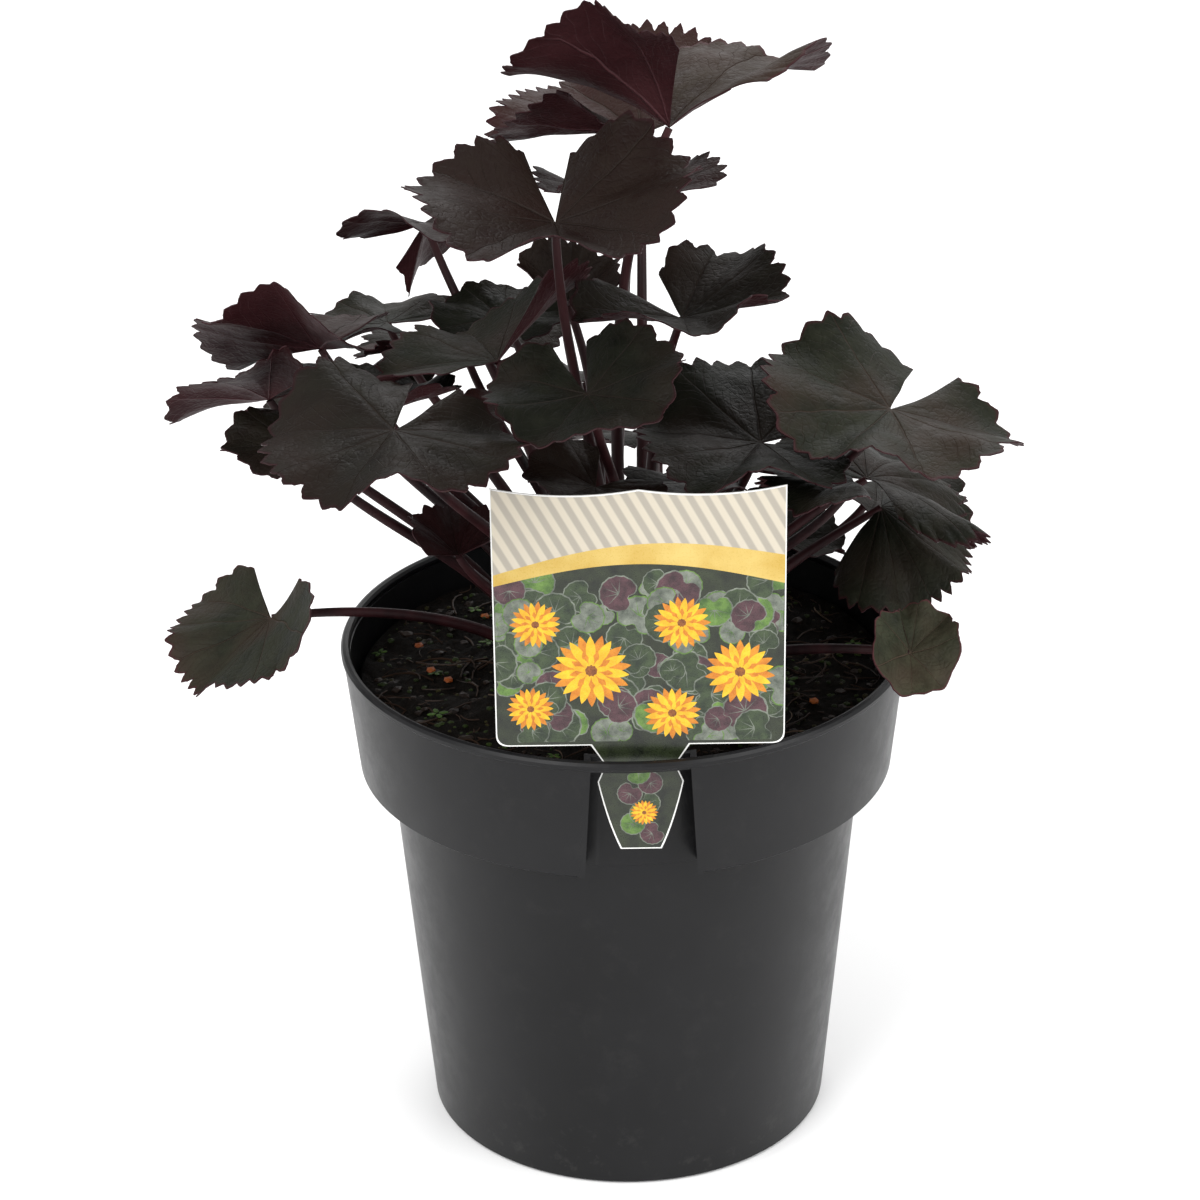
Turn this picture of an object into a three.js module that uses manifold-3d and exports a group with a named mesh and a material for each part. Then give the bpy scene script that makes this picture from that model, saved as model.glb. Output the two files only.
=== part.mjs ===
// A leopard plant in a nursery pot: toothed dark leaves on long stalks, a root crown in its soil,
// a tapered pot with a deep collar, and a T-shaped plant label in the collar's slot.
// Millimetres, +Z up. The origin is the middle of the pot's flat base.
import * as THREE from 'three';
import { mergeVertices } from 'three/addons/utils/BufferGeometryUtils.js';
import Module from 'manifold-3d';

const wasm = await Module();
wasm.setup();

const DEG = Math.PI / 180;
const GAP = 0.4;               // air left between neighbouring pieces

// Pot
const RIM_RADIUS = 95;         // a three-litre pot, 190 across the lip
const RIM_HEIGHT = 174;
const LIP_HEIGHT = 3.6;
const LIP_DEPTH = 3.2;
const COLLAR_BOTTOM = 130;     // height of the collar's lower edge
const COLLAR_TOP_RADIUS = 94.2;
const COLLAR_BOTTOM_RADIUS = 90;
const WALL_TOP_RADIUS = 80;    // wall just under the collar
const BASE_RADIUS = 68.6;
const WALL = 2;
const FLOOR = 3;
const BASE_RELIEF = 2;         // how far the ring between foot and centre pad is raised
const PAD_RADIUS = 14;
const FOOT_WIDTH = 8;
const POT_SIDES = 32;
const DRAIN_COUNT = 6;
const DRAIN_RADIUS = 5;
const DRAIN_CIRCLE = 38;
const DRAIN_SIDES = 12;

// Label slot in the front of the collar
const SLOT_TOP_WIDTH = 31;
const SLOT_BOTTOM_WIDTH = 36;

// Label
const LABEL_THICKNESS = 0.8;
const LABEL_Y = -87.5;
const LABEL_X = 4;
const PANEL_WIDTH = 90;
const PANEL_BOTTOM = 177;
const PANEL_TOP = 264.5;
const PANEL_PEAK = 263.5;       // middle of the top edge, between two shallow scallops
const SCALLOP_DIP = 2.4;
const PANEL_CORNER = 4;
const NECK_WIDTH = 31;
const NECK_RIM_WIDTH = 22;
const NECK_RIM_HEIGHT = 170;
const TAIL_WIDTH = 27;
const TAIL_SHOULDER = 164;
const TAIL_TIP_WIDTH = 13;
const TAIL_TIP = 140;

// Soil and crown
const SOIL_TOP = 160;
const SOIL_ROUGHNESS = 1.4;
const SOIL_EDGE = 5;           // width of the rounded edge along the pot's wall
const CROWN_RADIUS = 35;
const CROWN_DEPTH = 18;
const CROWN_RISE = 5;
const CROWN_SIDES = 18;
const SOCKET_DEPTH = 11;
const SOCKET_RINGS = [1, 6, 12, 18];
const SOCKET_SPACING = 10;

// Leaves
const BLADE_THICKNESS = 0.8;
const STALK_BASE_RADIUS = 2.5;
const STALK_TIP_RADIUS = 1.3;
const STALK_SIDES = 5;
const STALK_STEPS = 7;
const STALK_LIFT = 16;         // how far every stalk rises before it leans out
const STALK_UPRIGHT = 0.35;    // and the share of its height over which it stays upright
const STALK_ARRIVAL = 0.3;     // share of its length over which it bends to meet the blade
const SOCKET_GAP = 0.6;        // air round a stalk in its socket
const TEETH_PER_REACH = 0.36;   // teeth on each side of the midrib, per millimetre of reach
const TOOTH_DEPTH = 0.07;      // share of the blade's reach
const INNER_RING = 0.55;       // place of the ring between the stalk and the margin
const NOTCH = 22;              // half the opening between the back lobes, in degrees
const LOBE = 0.66;             // reach of the back lobes against the blade's
const LOBE_START = 0.72;       // share of the half span where they begin to shorten
const MEET = 63;               // how steeply a stalk comes up to its blade, in degrees
const RUFFLE = 6 * DEG;        // height of the waves round the blade
const RUFFLE_COUNT = 5;
const SOCKET_DRIFT = 0.35;     // how far a socket leaves its even place towards its leaf

// One entry per leaf. joint is where the stalk meets the blade, heading the way the midrib points
// (0 right, 90 back, 180 left, 270 front), reach the joint to the margin, and rise how steeply the
// blade leaves the joint towards the plant's right, back, left and front. skew lifts the quarters
// between right and back and between left and front, and lowers the two others. curl bends the blade
// on the way out, up or down. notch is half the opening between the two back lobes, lobe their reach
// against the blade's, and tooth the depth of the teeth against the common one. meet is how steeply
// the stalk comes up to the blade, and bow moves the stalk's middle right and back.
const leaves = [
  { joint: [16, 5, 348], heading: 128, reach: 57, rise: [24, 6, 25, 56], skew: 3, curl: -30,
    notch: 30, tooth: 0.5 },
  { joint: [8, 70, 325], heading: 152, reach: 55, rise: [4, 22, 5, 24], skew: 5, curl: 0, notch: 60 },
  { joint: [-20, -48, 335], heading: 275, reach: 46, rise: [20, 26, 14, 6], skew: 2, curl: 0,
    notch: 14, meet: 88, lobe: 0.72 },
  { joint: [4, 72, 301], heading: 120, reach: 35, rise: [17, 8, 15, 32], curl: 0, notch: 45 },
  { joint: [-65, 62, 298], heading: 345, reach: 34, rise: [30, -45, -20, 16], skew: 18, curl: 0,
    notch: 15 },
  { joint: [-39, -32, 284], heading: 110, reach: 41, rise: [54, 8, -5, 30], skew: -4, curl: -10,
    notch: 58 },
  { joint: [-38, 30, 275], heading: 90, reach: 25, rise: [8, 12, 8, 0], curl: 0 },
  { joint: [-17, 13, 286], heading: 45, reach: 23, rise: [40, 60, 40, 20], curl: 0, notch: 32 },
  { joint: [-97, 0, 277], heading: 180, reach: 45, rise: [5, -8, 6, 36], skew: 12, curl: 0,
    notch: 42, lobe: 0.5, tooth: 0.7 },
  { joint: [-79, 60, 263], heading: 135, reach: 27, rise: [6, 0, 6, 10], curl: 0 },
  { joint: [-114, -6, 262], heading: 170, reach: 36, rise: [10, -10, -8, 42], curl: -10, notch: 35 },
  { joint: [-101, -45, 262], heading: 180, reach: 27, rise: [10, 12, 4, 6], curl: 0 },
  { joint: [-69, -88, 284], heading: 248, reach: 41, rise: [-8, 9, -8, -6], skew: -5, curl: -8,
    notch: 14, lobe: 0.8 },
  { joint: [-75, -36, 269], heading: 90, reach: 25, rise: [22, 12, 42, 40], curl: 0 },
  { joint: [19, -20, 293], heading: 312, reach: 37, rise: [22, 22, 16, 17], curl: 5, notch: 22,
    lobe: 0.6 },
  { joint: [-11, -76, 290], heading: 285, reach: 31, rise: [18, 24, 2, -6], curl: 0, notch: 15,
    lobe: 0.8 },
  { joint: [-9, -61, 253], heading: 232, reach: 23, rise: [0, 28, 14, 7], curl: -10, notch: 30 },
  { joint: [21, -36, 244], heading: 190, reach: 23, rise: [4, -14, 5, 8], curl: -10 },
  { joint: [43, -46, 261], heading: 172, reach: 43, rise: [8, 20, 6, 5], curl: 0 },
  { joint: [83, -47, 272], heading: 240, reach: 42, rise: [-13, 14, 12, -4], skew: -6, curl: 0, notch: 13,
    lobe: 0.85, bow: [0, 10] },
  { joint: [79, -15, 235], heading: 35, reach: 46, rise: [-30, -5, 5, 8], curl: -40, notch: 70,
    meet: 30 },
  { joint: [86, 10, 214], heading: 335, reach: 40, rise: [-30, -5, -10, -42], curl: -15, notch: 70,
    meet: 25 },
  { joint: [55, 27, 195], heading: 50, reach: 22, rise: [-5, 38, 30, 20], curl: 0, meet: 30 },
  { joint: [91, -52, 190], heading: 310, reach: 18, rise: [25, 45, 60, -30], curl: 0, notch: 14,
    lobe: 0.8, meet: 0 },
  { joint: [-118, 0, 181], heading: 213, reach: 39, rise: [76, 30, -22, -4], curl: 0, notch: 75,
    lobe: 0.6, meet: -10 },
  { joint: [-53, -40, 221], heading: 105, reach: 20, rise: [30, 34, 40, 10], curl: 0, notch: 62 },
  { joint: [71, -62, 254], heading: 185, reach: 33, rise: [0, -18, 0, 8], curl: -20, notch: 85 },
  { joint: [40, 28, 221], heading: 90, reach: 20, rise: [5, -8, 5, 10], curl: 0 },
  { joint: [-40, -53, 276], heading: 130, reach: 15, rise: [10, 4, 8, 8], curl: 0 },
  { joint: [-95, 60, 236], heading: 155, reach: 36, rise: [8, -5, -10, 10], curl: -10 },
  { joint: [-55, 92, 243], heading: 120, reach: 38, rise: [5, -12, 0, 14], curl: -10 },
  { joint: [-12, 82, 232], heading: 95, reach: 32, rise: [6, -10, 4, 16], curl: -10 },
  { joint: [52, 93, 224], heading: 60, reach: 33, rise: [-5, -14, 6, 14], curl: -15 },
  { joint: [90, 72, 197], heading: 20, reach: 34, rise: [-8, -4, 8, 6], curl: -10, bow: [0, 14] },
  { joint: [14, 118, 196], heading: 90, reach: 36, rise: [4, -25, 2, 14], curl: -20, meet: 10 },
];

// A closed mesh with its shared vertices merged, as a solid for cutting and joining.
function toSolid(geometry) {
  const bare = geometry.index ? geometry.toNonIndexed() : geometry.clone();
  bare.deleteAttribute('normal');
  bare.deleteAttribute('uv');
  const merged = mergeVertices(bare, 1e-4);
  return new wasm.Manifold(new wasm.Mesh({
    numProp: 3,
    vertProperties: new Float32Array(merged.attributes.position.array),
    triVerts: new Uint32Array(merged.index.array),
  }));
}

function toGeometry(solid) {
  const mesh = solid.getMesh();
  const geometry = new THREE.BufferGeometry();
  geometry.setAttribute('position', new THREE.BufferAttribute(new Float32Array(mesh.vertProperties), 3));
  geometry.setIndex(new THREE.BufferAttribute(new Uint32Array(mesh.triVerts), 1));
  return geometry;
}

// A solid of revolution about Z from [radius, height] pairs that start and end on the axis.
function turned(profile, sides) {
  const points = profile.map(([radius, height]) => new THREE.Vector2(radius, height));
  const geometry = new THREE.LatheGeometry(points, sides);
  geometry.rotateX(Math.PI / 2);
  return geometry;
}

function named(name, geometry, color, roughness) {
  const material = new THREE.MeshStandardMaterial({ color, roughness, metalness: 0 });
  const mesh = new THREE.Mesh(geometry, material);
  mesh.name = name;
  return mesh;
}

// Outer radius of the tapered wall, which also runs on behind the label slot.
function wallRadius(height) {
  return BASE_RADIUS + (WALL_TOP_RADIUS - BASE_RADIUS) * height / COLLAR_BOTTOM;
}

// A wedge as deep as the collar, narrower at the top, for the slot and its side walls.
function slotWedge(margin, zMin, zMax) {
  const half = (z) => {
    const share = (z - COLLAR_BOTTOM) / (RIM_HEIGHT - COLLAR_BOTTOM);
    return (SLOT_BOTTOM_WIDTH + (SLOT_TOP_WIDTH - SLOT_BOTTOM_WIDTH) * share) / 2 + margin;
  };
  const shape = new THREE.Shape();
  shape.moveTo(LABEL_X - half(zMin), zMin);
  shape.lineTo(LABEL_X + half(zMin), zMin);
  shape.lineTo(LABEL_X + half(zMax), zMax);
  shape.lineTo(LABEL_X - half(zMax), zMax);
  const depth = RIM_RADIUS / 2;
  const geometry = new THREE.ExtrudeGeometry(shape, { depth, bevelEnabled: false });
  geometry.rotateX(Math.PI / 2);
  geometry.translate(0, -RIM_RADIUS * 0.6, 0);
  return toSolid(geometry);
}

function makePot() {
  const lipBottom = RIM_HEIGHT - LIP_HEIGHT;
  const lipInner = RIM_RADIUS - LIP_DEPTH;
  const edge = 0.8;
  const shell = toSolid(turned([
    [0, 0],
    [PAD_RADIUS, 0],
    [PAD_RADIUS + BASE_RELIEF, BASE_RELIEF],
    [BASE_RADIUS - FOOT_WIDTH - BASE_RELIEF, BASE_RELIEF],
    [BASE_RADIUS - FOOT_WIDTH, 0],
    [BASE_RADIUS, 0],
    [WALL_TOP_RADIUS, COLLAR_BOTTOM],
    [COLLAR_BOTTOM_RADIUS, COLLAR_BOTTOM],
    [COLLAR_TOP_RADIUS, lipBottom],
    [RIM_RADIUS, lipBottom + edge],
    [RIM_RADIUS, RIM_HEIGHT - edge],
    [RIM_RADIUS - edge, RIM_HEIGHT],
    [lipInner + edge, RIM_HEIGHT],
    [lipInner, RIM_HEIGHT - edge],
    [lipInner, lipBottom],
    [COLLAR_BOTTOM_RADIUS - WALL, COLLAR_BOTTOM + WALL],
    [WALL_TOP_RADIUS - WALL, COLLAR_BOTTOM + WALL],
    [wallRadius(FLOOR + BASE_RELIEF) - WALL, FLOOR + BASE_RELIEF],
    [0, FLOOR + BASE_RELIEF],
  ], POT_SIDES));

  // The slot: the wall runs on up behind the collar, and two cheeks join it to the collar.
  const core = toSolid(turned([
    [0, COLLAR_BOTTOM - 1],
    [wallRadius(COLLAR_BOTTOM - 1), COLLAR_BOTTOM - 1],
    [wallRadius(RIM_HEIGHT + 1), RIM_HEIGHT + 1],
    [0, RIM_HEIGHT + 1],
  ], POT_SIDES));
  const coreInside = toSolid(turned([
    [0, COLLAR_BOTTOM - 2],
    [wallRadius(COLLAR_BOTTOM - 2) - WALL, COLLAR_BOTTOM - 2],
    [wallRadius(RIM_HEIGHT + 2) - WALL, RIM_HEIGHT + 2],
    [0, RIM_HEIGHT + 2],
  ], POT_SIDES));
  const envelope = toSolid(turned([
    [0, COLLAR_BOTTOM],
    [COLLAR_BOTTOM_RADIUS, COLLAR_BOTTOM],
    [COLLAR_TOP_RADIUS, lipBottom],
    [0, lipBottom],
  ], POT_SIDES));
  const window = slotWedge(0, COLLAR_BOTTOM - 1, lipBottom).subtract(core);
  const pocket = slotWedge(WALL, COLLAR_BOTTOM, lipBottom).intersect(envelope).subtract(coreInside);
  let pot = shell.add(pocket).subtract(window);

  const drainDrill = new THREE.CylinderGeometry(DRAIN_RADIUS, DRAIN_RADIUS, FLOOR * 4, DRAIN_SIDES);
  drainDrill.rotateX(Math.PI / 2);
  for (let i = 0; i < DRAIN_COUNT; i += 1) {
    const angle = (i / DRAIN_COUNT) * 2 * Math.PI;
    const hole = drainDrill.clone();
    hole.translate(DRAIN_CIRCLE * Math.cos(angle), DRAIN_CIRCLE * Math.sin(angle), FLOOR);
    pot = pot.subtract(toSolid(hole));
  }
  return named('pot', toGeometry(pot), 0x3a3a3c, 0.55);
}

// Gentle lumps of the soil and crown, by a sum of waves.
function lumps(x, y) {
  return 0.5 * Math.sin(x * 0.21 + 1.3) * Math.cos(y * 0.17) + 0.5 * Math.sin(x * 0.09 - y * 0.13 + 0.7);
}

function roughenTop(geometry, height, amplitude) {
  const position = geometry.attributes.position;
  for (let i = 0; i < position.count; i += 1) {
    if (position.getZ(i) > height - 1) {
      const raised = position.getZ(i) + amplitude * lumps(position.getX(i), position.getY(i));
      position.setZ(i, raised);
    }
  }
}

function makeSoil() {
  const top = SOIL_TOP;
  const floor = FLOOR + BASE_RELIEF + GAP;
  const collarRadius = (z) => {
    const share = (z - COLLAR_BOTTOM) / (RIM_HEIGHT - COLLAR_BOTTOM);
    return COLLAR_BOTTOM_RADIUS + (COLLAR_TOP_RADIUS - COLLAR_BOTTOM_RADIUS) * share - WALL - 2 * GAP;
  };
  const ball = turned([
    [0, floor],
    [wallRadius(floor) - WALL - GAP, floor],
    [wallRadius(COLLAR_BOTTOM + WALL + GAP) - WALL - GAP, COLLAR_BOTTOM + WALL + GAP],
    [collarRadius(COLLAR_BOTTOM + WALL + GAP), COLLAR_BOTTOM + WALL + GAP],
    [collarRadius(top - 3), top - 3],
    [collarRadius(top) - SOIL_EDGE, top],
    [2 * CROWN_RADIUS, top],
    [1.5 * CROWN_RADIUS, top + 0.6],
    [0, top + 1],
  ], POT_SIDES);
  roughenTop(ball, top, SOIL_ROUGHNESS);
  const crownHole = turned([
    [0, top - CROWN_DEPTH],
    [CROWN_RADIUS * 0.85, top - CROWN_DEPTH],
    [CROWN_RADIUS + 2 * GAP, top - 4],
    [CROWN_RADIUS + 2 * GAP, top + 10],
    [0, top + 10],
  ], POT_SIDES);
  const behindSlot = slotWedge(WALL + GAP, COLLAR_BOTTOM - GAP, RIM_HEIGHT).subtract(toSolid(turned([
    [0, COLLAR_BOTTOM - 2],
    [wallRadius(COLLAR_BOTTOM - 2) - WALL - GAP, COLLAR_BOTTOM - 2],
    [wallRadius(RIM_HEIGHT + 2) - WALL - GAP, RIM_HEIGHT + 2],
    [0, RIM_HEIGHT + 2],
  ], POT_SIDES)));
  let soil = toSolid(ball).subtract(toSolid(crownHole)).subtract(behindSlot);
  leaves.forEach((leaf, index) => {
    soil = soil.subtract(makeStalk(leaf, sockets[index], SOCKET_GAP));
  });
  return named('soil', toGeometry(soil), 0x1c1815, 0.95);
}

// Sockets of the stalks: rings about the middle. Leaves that lean out most stand in the outer ring,
// and round a ring they keep the order of their directions, so that stalks need not cross.
function layOutSockets() {
  const lean = (leaf) => Math.hypot(leaf.joint[0], leaf.joint[1]) / (leaf.joint[2] - SOIL_TOP);
  const order = leaves.map((leaf, index) => index).sort((a, b) => lean(leaves[a]) - lean(leaves[b]));
  const sockets = [];
  let taken = 0;
  SOCKET_RINGS.forEach((count, ring) => {
    const members = order.slice(taken, taken + count);
    taken += count;
    const direction = (index) => Math.atan2(leaves[index].joint[1], leaves[index].joint[0]);
    members.sort((a, b) => direction(a) - direction(b));
    members.forEach((index, place) => {
      const even = -Math.PI + ((place + 0.5) / members.length) * 2 * Math.PI;
      const angle = even + SOCKET_DRIFT * (direction(index) - even);
      const radius = ring * SOCKET_SPACING;
      sockets[index] = new THREE.Vector3(
        radius * Math.cos(angle),
        radius * Math.sin(angle),
        SOIL_TOP + CROWN_RISE - SOCKET_DEPTH,
      );
    });
  });
  return sockets;
}

const sockets = layOutSockets();

function makeCrown() {
  const bottom = SOIL_TOP - CROWN_DEPTH + GAP;
  const body = turned([
    [0, bottom],
    [CROWN_RADIUS * 0.8, bottom],
    [CROWN_RADIUS, SOIL_TOP - 4 + GAP],
    [CROWN_RADIUS, SOIL_TOP + 1],
    [CROWN_RADIUS * 0.8, SOIL_TOP + 0.8 * CROWN_RISE],
    [CROWN_RADIUS * 0.4, SOIL_TOP + CROWN_RISE],
    [0, SOIL_TOP + CROWN_RISE],
  ], CROWN_SIDES);
  roughenTop(body, SOIL_TOP + 1, 1);
  let crown = toSolid(body);
  leaves.forEach((leaf, index) => {
    crown = crown.subtract(makeStalk(leaf, sockets[index], SOCKET_GAP));
  });
  return named('crown', toGeometry(crown), 0x3b2320, 0.9);
}

function makeLabel() {
  const half = PANEL_WIDTH / 2;
  const shape = new THREE.Shape();
  shape.moveTo(-TAIL_TIP_WIDTH / 2, TAIL_TIP);
  shape.lineTo(TAIL_TIP_WIDTH / 2, TAIL_TIP);
  shape.quadraticCurveTo(TAIL_WIDTH / 2 - 3, TAIL_TIP + 9, TAIL_WIDTH / 2, TAIL_SHOULDER);
  shape.lineTo(NECK_RIM_WIDTH / 2, NECK_RIM_HEIGHT);
  shape.lineTo(NECK_WIDTH / 2, PANEL_BOTTOM);
  shape.lineTo(half - PANEL_CORNER, PANEL_BOTTOM);
  shape.quadraticCurveTo(half, PANEL_BOTTOM, half, PANEL_BOTTOM + PANEL_CORNER);
  shape.lineTo(half, PANEL_TOP);
  shape.quadraticCurveTo(half / 2, PANEL_TOP - 2 * SCALLOP_DIP, 1, PANEL_PEAK);
  shape.quadraticCurveTo(-half / 2, PANEL_TOP - 2 * SCALLOP_DIP, -half, PANEL_TOP);
  shape.lineTo(-half, PANEL_BOTTOM + PANEL_CORNER);
  shape.quadraticCurveTo(-half, PANEL_BOTTOM, -half + PANEL_CORNER, PANEL_BOTTOM);
  shape.lineTo(-NECK_WIDTH / 2, PANEL_BOTTOM);
  shape.lineTo(-NECK_RIM_WIDTH / 2, NECK_RIM_HEIGHT);
  shape.lineTo(-TAIL_WIDTH / 2, TAIL_SHOULDER);
  shape.quadraticCurveTo(-TAIL_WIDTH / 2 + 3, TAIL_TIP + 9, -TAIL_TIP_WIDTH / 2, TAIL_TIP);
  const geometry = new THREE.ExtrudeGeometry(shape, {
    depth: LABEL_THICKNESS,
    bevelEnabled: false,
    curveSegments: 6,
  });
  geometry.rotateX(Math.PI / 2);
  geometry.translate(LABEL_X, LABEL_Y + LABEL_THICKNESS / 2, 0);
  return named('label', toGeometry(toSolid(geometry)), 0xb8b49c, 0.3);
}

// How steeply the blade leaves its joint in the direction given, from its four rises.
function riseTowards(leaf, direction) {
  const [right, back, left, front] = leaf.rise.map((degrees) => degrees * DEG);
  const mean = (right + back + left + front) / 4;
  return mean
    + ((right - left) / 2) * Math.cos(direction)
    + ((back - front) / 2) * Math.sin(direction)
    + ((right + left - back - front) / 4) * Math.cos(2 * direction)
    + (leaf.skew ?? 0) * DEG * Math.sin(2 * direction);
}

// Reach of the margin at an angle from the midrib: a broad kidney with two shorter back lobes.
function reachAt(leaf, angle, halfSpan) {
  const turn = Math.abs(angle);
  const kidney = 1 - 0.02 * Math.cos(turn) - 0.04 * Math.cos(2 * turn);
  const lobeStart = LOBE_START * halfSpan;
  const lobe = Math.max(0, (turn - lobeStart) / (halfSpan - lobeStart));
  return leaf.reach * kidney * (1 - (1 - (leaf.lobe ?? LOBE)) * lobe ** 2.2);
}

// A point of the blade's middle surface, out along the direction at angle from the midrib.
function bladePoint(leaf, index, angle, out, reach) {
  const direction = leaf.heading * DEG + angle;
  const curl = leaf.curl * DEG;
  const ruffle = RUFFLE * Math.sin(RUFFLE_COUNT * angle + index) * out;
  const rise = riseTowards(leaf, direction) + ruffle;
  const start = rise - curl / 2;
  const end = start + curl * out;
  let along = Math.cos(start) * out;
  let up = Math.sin(start) * out;
  if (Math.abs(curl) > 0.01) {
    along = (Math.sin(end) - Math.sin(start)) / curl;
    up = (Math.cos(start) - Math.cos(end)) / curl;
  }
  return new THREE.Vector3(
    leaf.joint[0] + reach * along * Math.cos(direction),
    leaf.joint[1] + reach * along * Math.sin(direction),
    leaf.joint[2] + reach * up,
  );
}

// The blade: a fan of triangles about the joint, then a band out to the toothed margin, given its
// thickness along the normals, with the same triangles on both faces.
function makeBlade(leaf, index) {
  const halfSpan = Math.PI - (leaf.notch ?? NOTCH) * DEG;
  const teeth = Math.round(TEETH_PER_REACH * leaf.reach);
  const marginCount = 4 * teeth + 1;
  const innerCount = teeth + 1;
  const points = [new THREE.Vector3(...leaf.joint)];
  for (let i = 0; i < innerCount; i += 1) {
    const angle = halfSpan * (2 * i / (innerCount - 1) - 1);
    points.push(bladePoint(leaf, index, angle, INNER_RING, reachAt(leaf, angle, halfSpan)));
  }
  for (let i = 0; i < marginCount; i += 1) {
    const angle = halfSpan * (2 * i / (marginCount - 1) - 1);
    const tooth = i % 2 === 0 ? 1 : 1 - TOOTH_DEPTH * (leaf.tooth ?? 1);
    points.push(bladePoint(leaf, index, angle, 1, reachAt(leaf, angle, halfSpan) * tooth));
  }
  const inner = (i) => 1 + i;
  const margin = (i) => 1 + innerCount + i;
  const triangles = [];
  for (let i = 0; i < innerCount - 1; i += 1) {
    triangles.push([0, inner(i), inner(i + 1)]);
    triangles.push([inner(i), margin(4 * i), margin(4 * i + 1)]);
    triangles.push([inner(i), margin(4 * i + 1), margin(4 * i + 2)]);
    triangles.push([inner(i), margin(4 * i + 2), inner(i + 1)]);
    triangles.push([inner(i + 1), margin(4 * i + 2), margin(4 * i + 3)]);
    triangles.push([inner(i + 1), margin(4 * i + 3), margin(4 * i + 4)]);
  }

  const normals = points.map(() => new THREE.Vector3());
  for (const [a, b, c] of triangles) {
    const ab = points[b].clone().sub(points[a]);
    const ac = points[c].clone().sub(points[a]);
    const facing = ab.cross(ac);
    normals[a].add(facing);
    normals[b].add(facing);
    normals[c].add(facing);
  }
  normals.forEach((normal) => normal.normalize());

  const count = points.length;
  const position = new Float32Array(count * 6);
  points.forEach((point, i) => {
    const offset = normals[i].clone().multiplyScalar(BLADE_THICKNESS / 2);
    point.clone().add(offset).toArray(position, 3 * i);
    point.clone().sub(offset).toArray(position, 3 * (i + count));
  });
  const faces = [];
  for (const [a, b, c] of triangles) {
    faces.push(a, b, c);
    faces.push(a + count, c + count, b + count);
  }
  const outline = [0, inner(0)];
  for (let i = 0; i < marginCount; i += 1) {
    outline.push(margin(i));
  }
  outline.push(inner(innerCount - 1));
  outline.forEach((from, i) => {
    const to = outline[(i + 1) % outline.length];
    faces.push(from, from + count, to + count);
    faces.push(from, to + count, to);
  });
  const geometry = new THREE.BufferGeometry();
  geometry.setAttribute('position', new THREE.BufferAttribute(position, 3));
  geometry.setIndex(faces);
  return geometry;
}

// The stalk's middle line: upright out of its socket, then out in one bow to the blade.
function stalkCurve(leaf, socket) {
  const joint = new THREE.Vector3(...leaf.joint);
  const meet = (leaf.meet ?? MEET) * DEG;
  const outward = Math.atan2(joint.y - socket.y, joint.x - socket.x);
  const length = joint.distanceTo(socket);
  const arrival = new THREE.Vector3(
    Math.cos(meet) * Math.cos(outward),
    Math.cos(meet) * Math.sin(outward),
    Math.sin(meet),
  );
  const bow = leaf.bow ?? [0, 0];
  const lift = STALK_UPRIGHT * (joint.z - socket.z) + STALK_LIFT;
  const lower = new THREE.Vector3(socket.x + bow[0], socket.y + bow[1], socket.z + lift);
  const upper = joint.clone().addScaledVector(arrival, -STALK_ARRIVAL * length);
  return new THREE.CubicBezierCurve3(socket.clone(), lower, upper, joint);
}

// A tube along the stalk's line that narrows towards the blade, wider all round by the margin.
function makeStalk(leaf, socket, margin) {
  const start = socket.clone();
  start.z -= margin;
  const curve = stalkCurve(leaf, start);
  const section = new THREE.Shape();
  for (let i = 0; i <= STALK_SIDES; i += 1) {
    const angle = (i / STALK_SIDES) * 2 * Math.PI;
    const x = STALK_BASE_RADIUS * Math.cos(angle);
    const y = STALK_BASE_RADIUS * Math.sin(angle);
    if (i === 0) {
      section.moveTo(x, y);
    } else {
      section.lineTo(x, y);
    }
  }
  const geometry = new THREE.ExtrudeGeometry(section, {
    steps: STALK_STEPS,
    extrudePath: curve,
    bevelEnabled: false,
  });
  const stations = curve.getSpacedPoints(STALK_STEPS);
  const position = geometry.attributes.position;
  const vertex = new THREE.Vector3();
  for (let i = 0; i < position.count; i += 1) {
    vertex.fromBufferAttribute(position, i);
    let nearest = 0;
    stations.forEach((station, k) => {
      if (station.distanceTo(vertex) < stations[nearest].distanceTo(vertex)) {
        nearest = k;
      }
    });
    const share = nearest / STALK_STEPS;
    const radius = STALK_BASE_RADIUS + (STALK_TIP_RADIUS - STALK_BASE_RADIUS) * share + margin;
    vertex.sub(stations[nearest]).multiplyScalar(radius / STALK_BASE_RADIUS).add(stations[nearest]);
    position.setXYZ(i, vertex.x, vertex.y, vertex.z);
  }
  return toSolid(geometry);
}

function makeLeaf(leaf, index) {
  const solid = toSolid(makeBlade(leaf, index)).add(makeStalk(leaf, sockets[index], 0));
  const name = `leaf_${String(index + 1).padStart(2, '0')}`;
  return named(name, toGeometry(solid), 0x33332c, 0.6);
}

const plant = new THREE.Group();
plant.name = 'potted_leopard_plant';
plant.add(makePot());
plant.add(makeSoil());
plant.add(makeCrown());
plant.add(makeLabel());
leaves.forEach((leaf, index) => plant.add(makeLeaf(leaf, index)));

export default plant;
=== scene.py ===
import math
import random

import bpy
from mathutils import Matrix, Vector, noise


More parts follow.
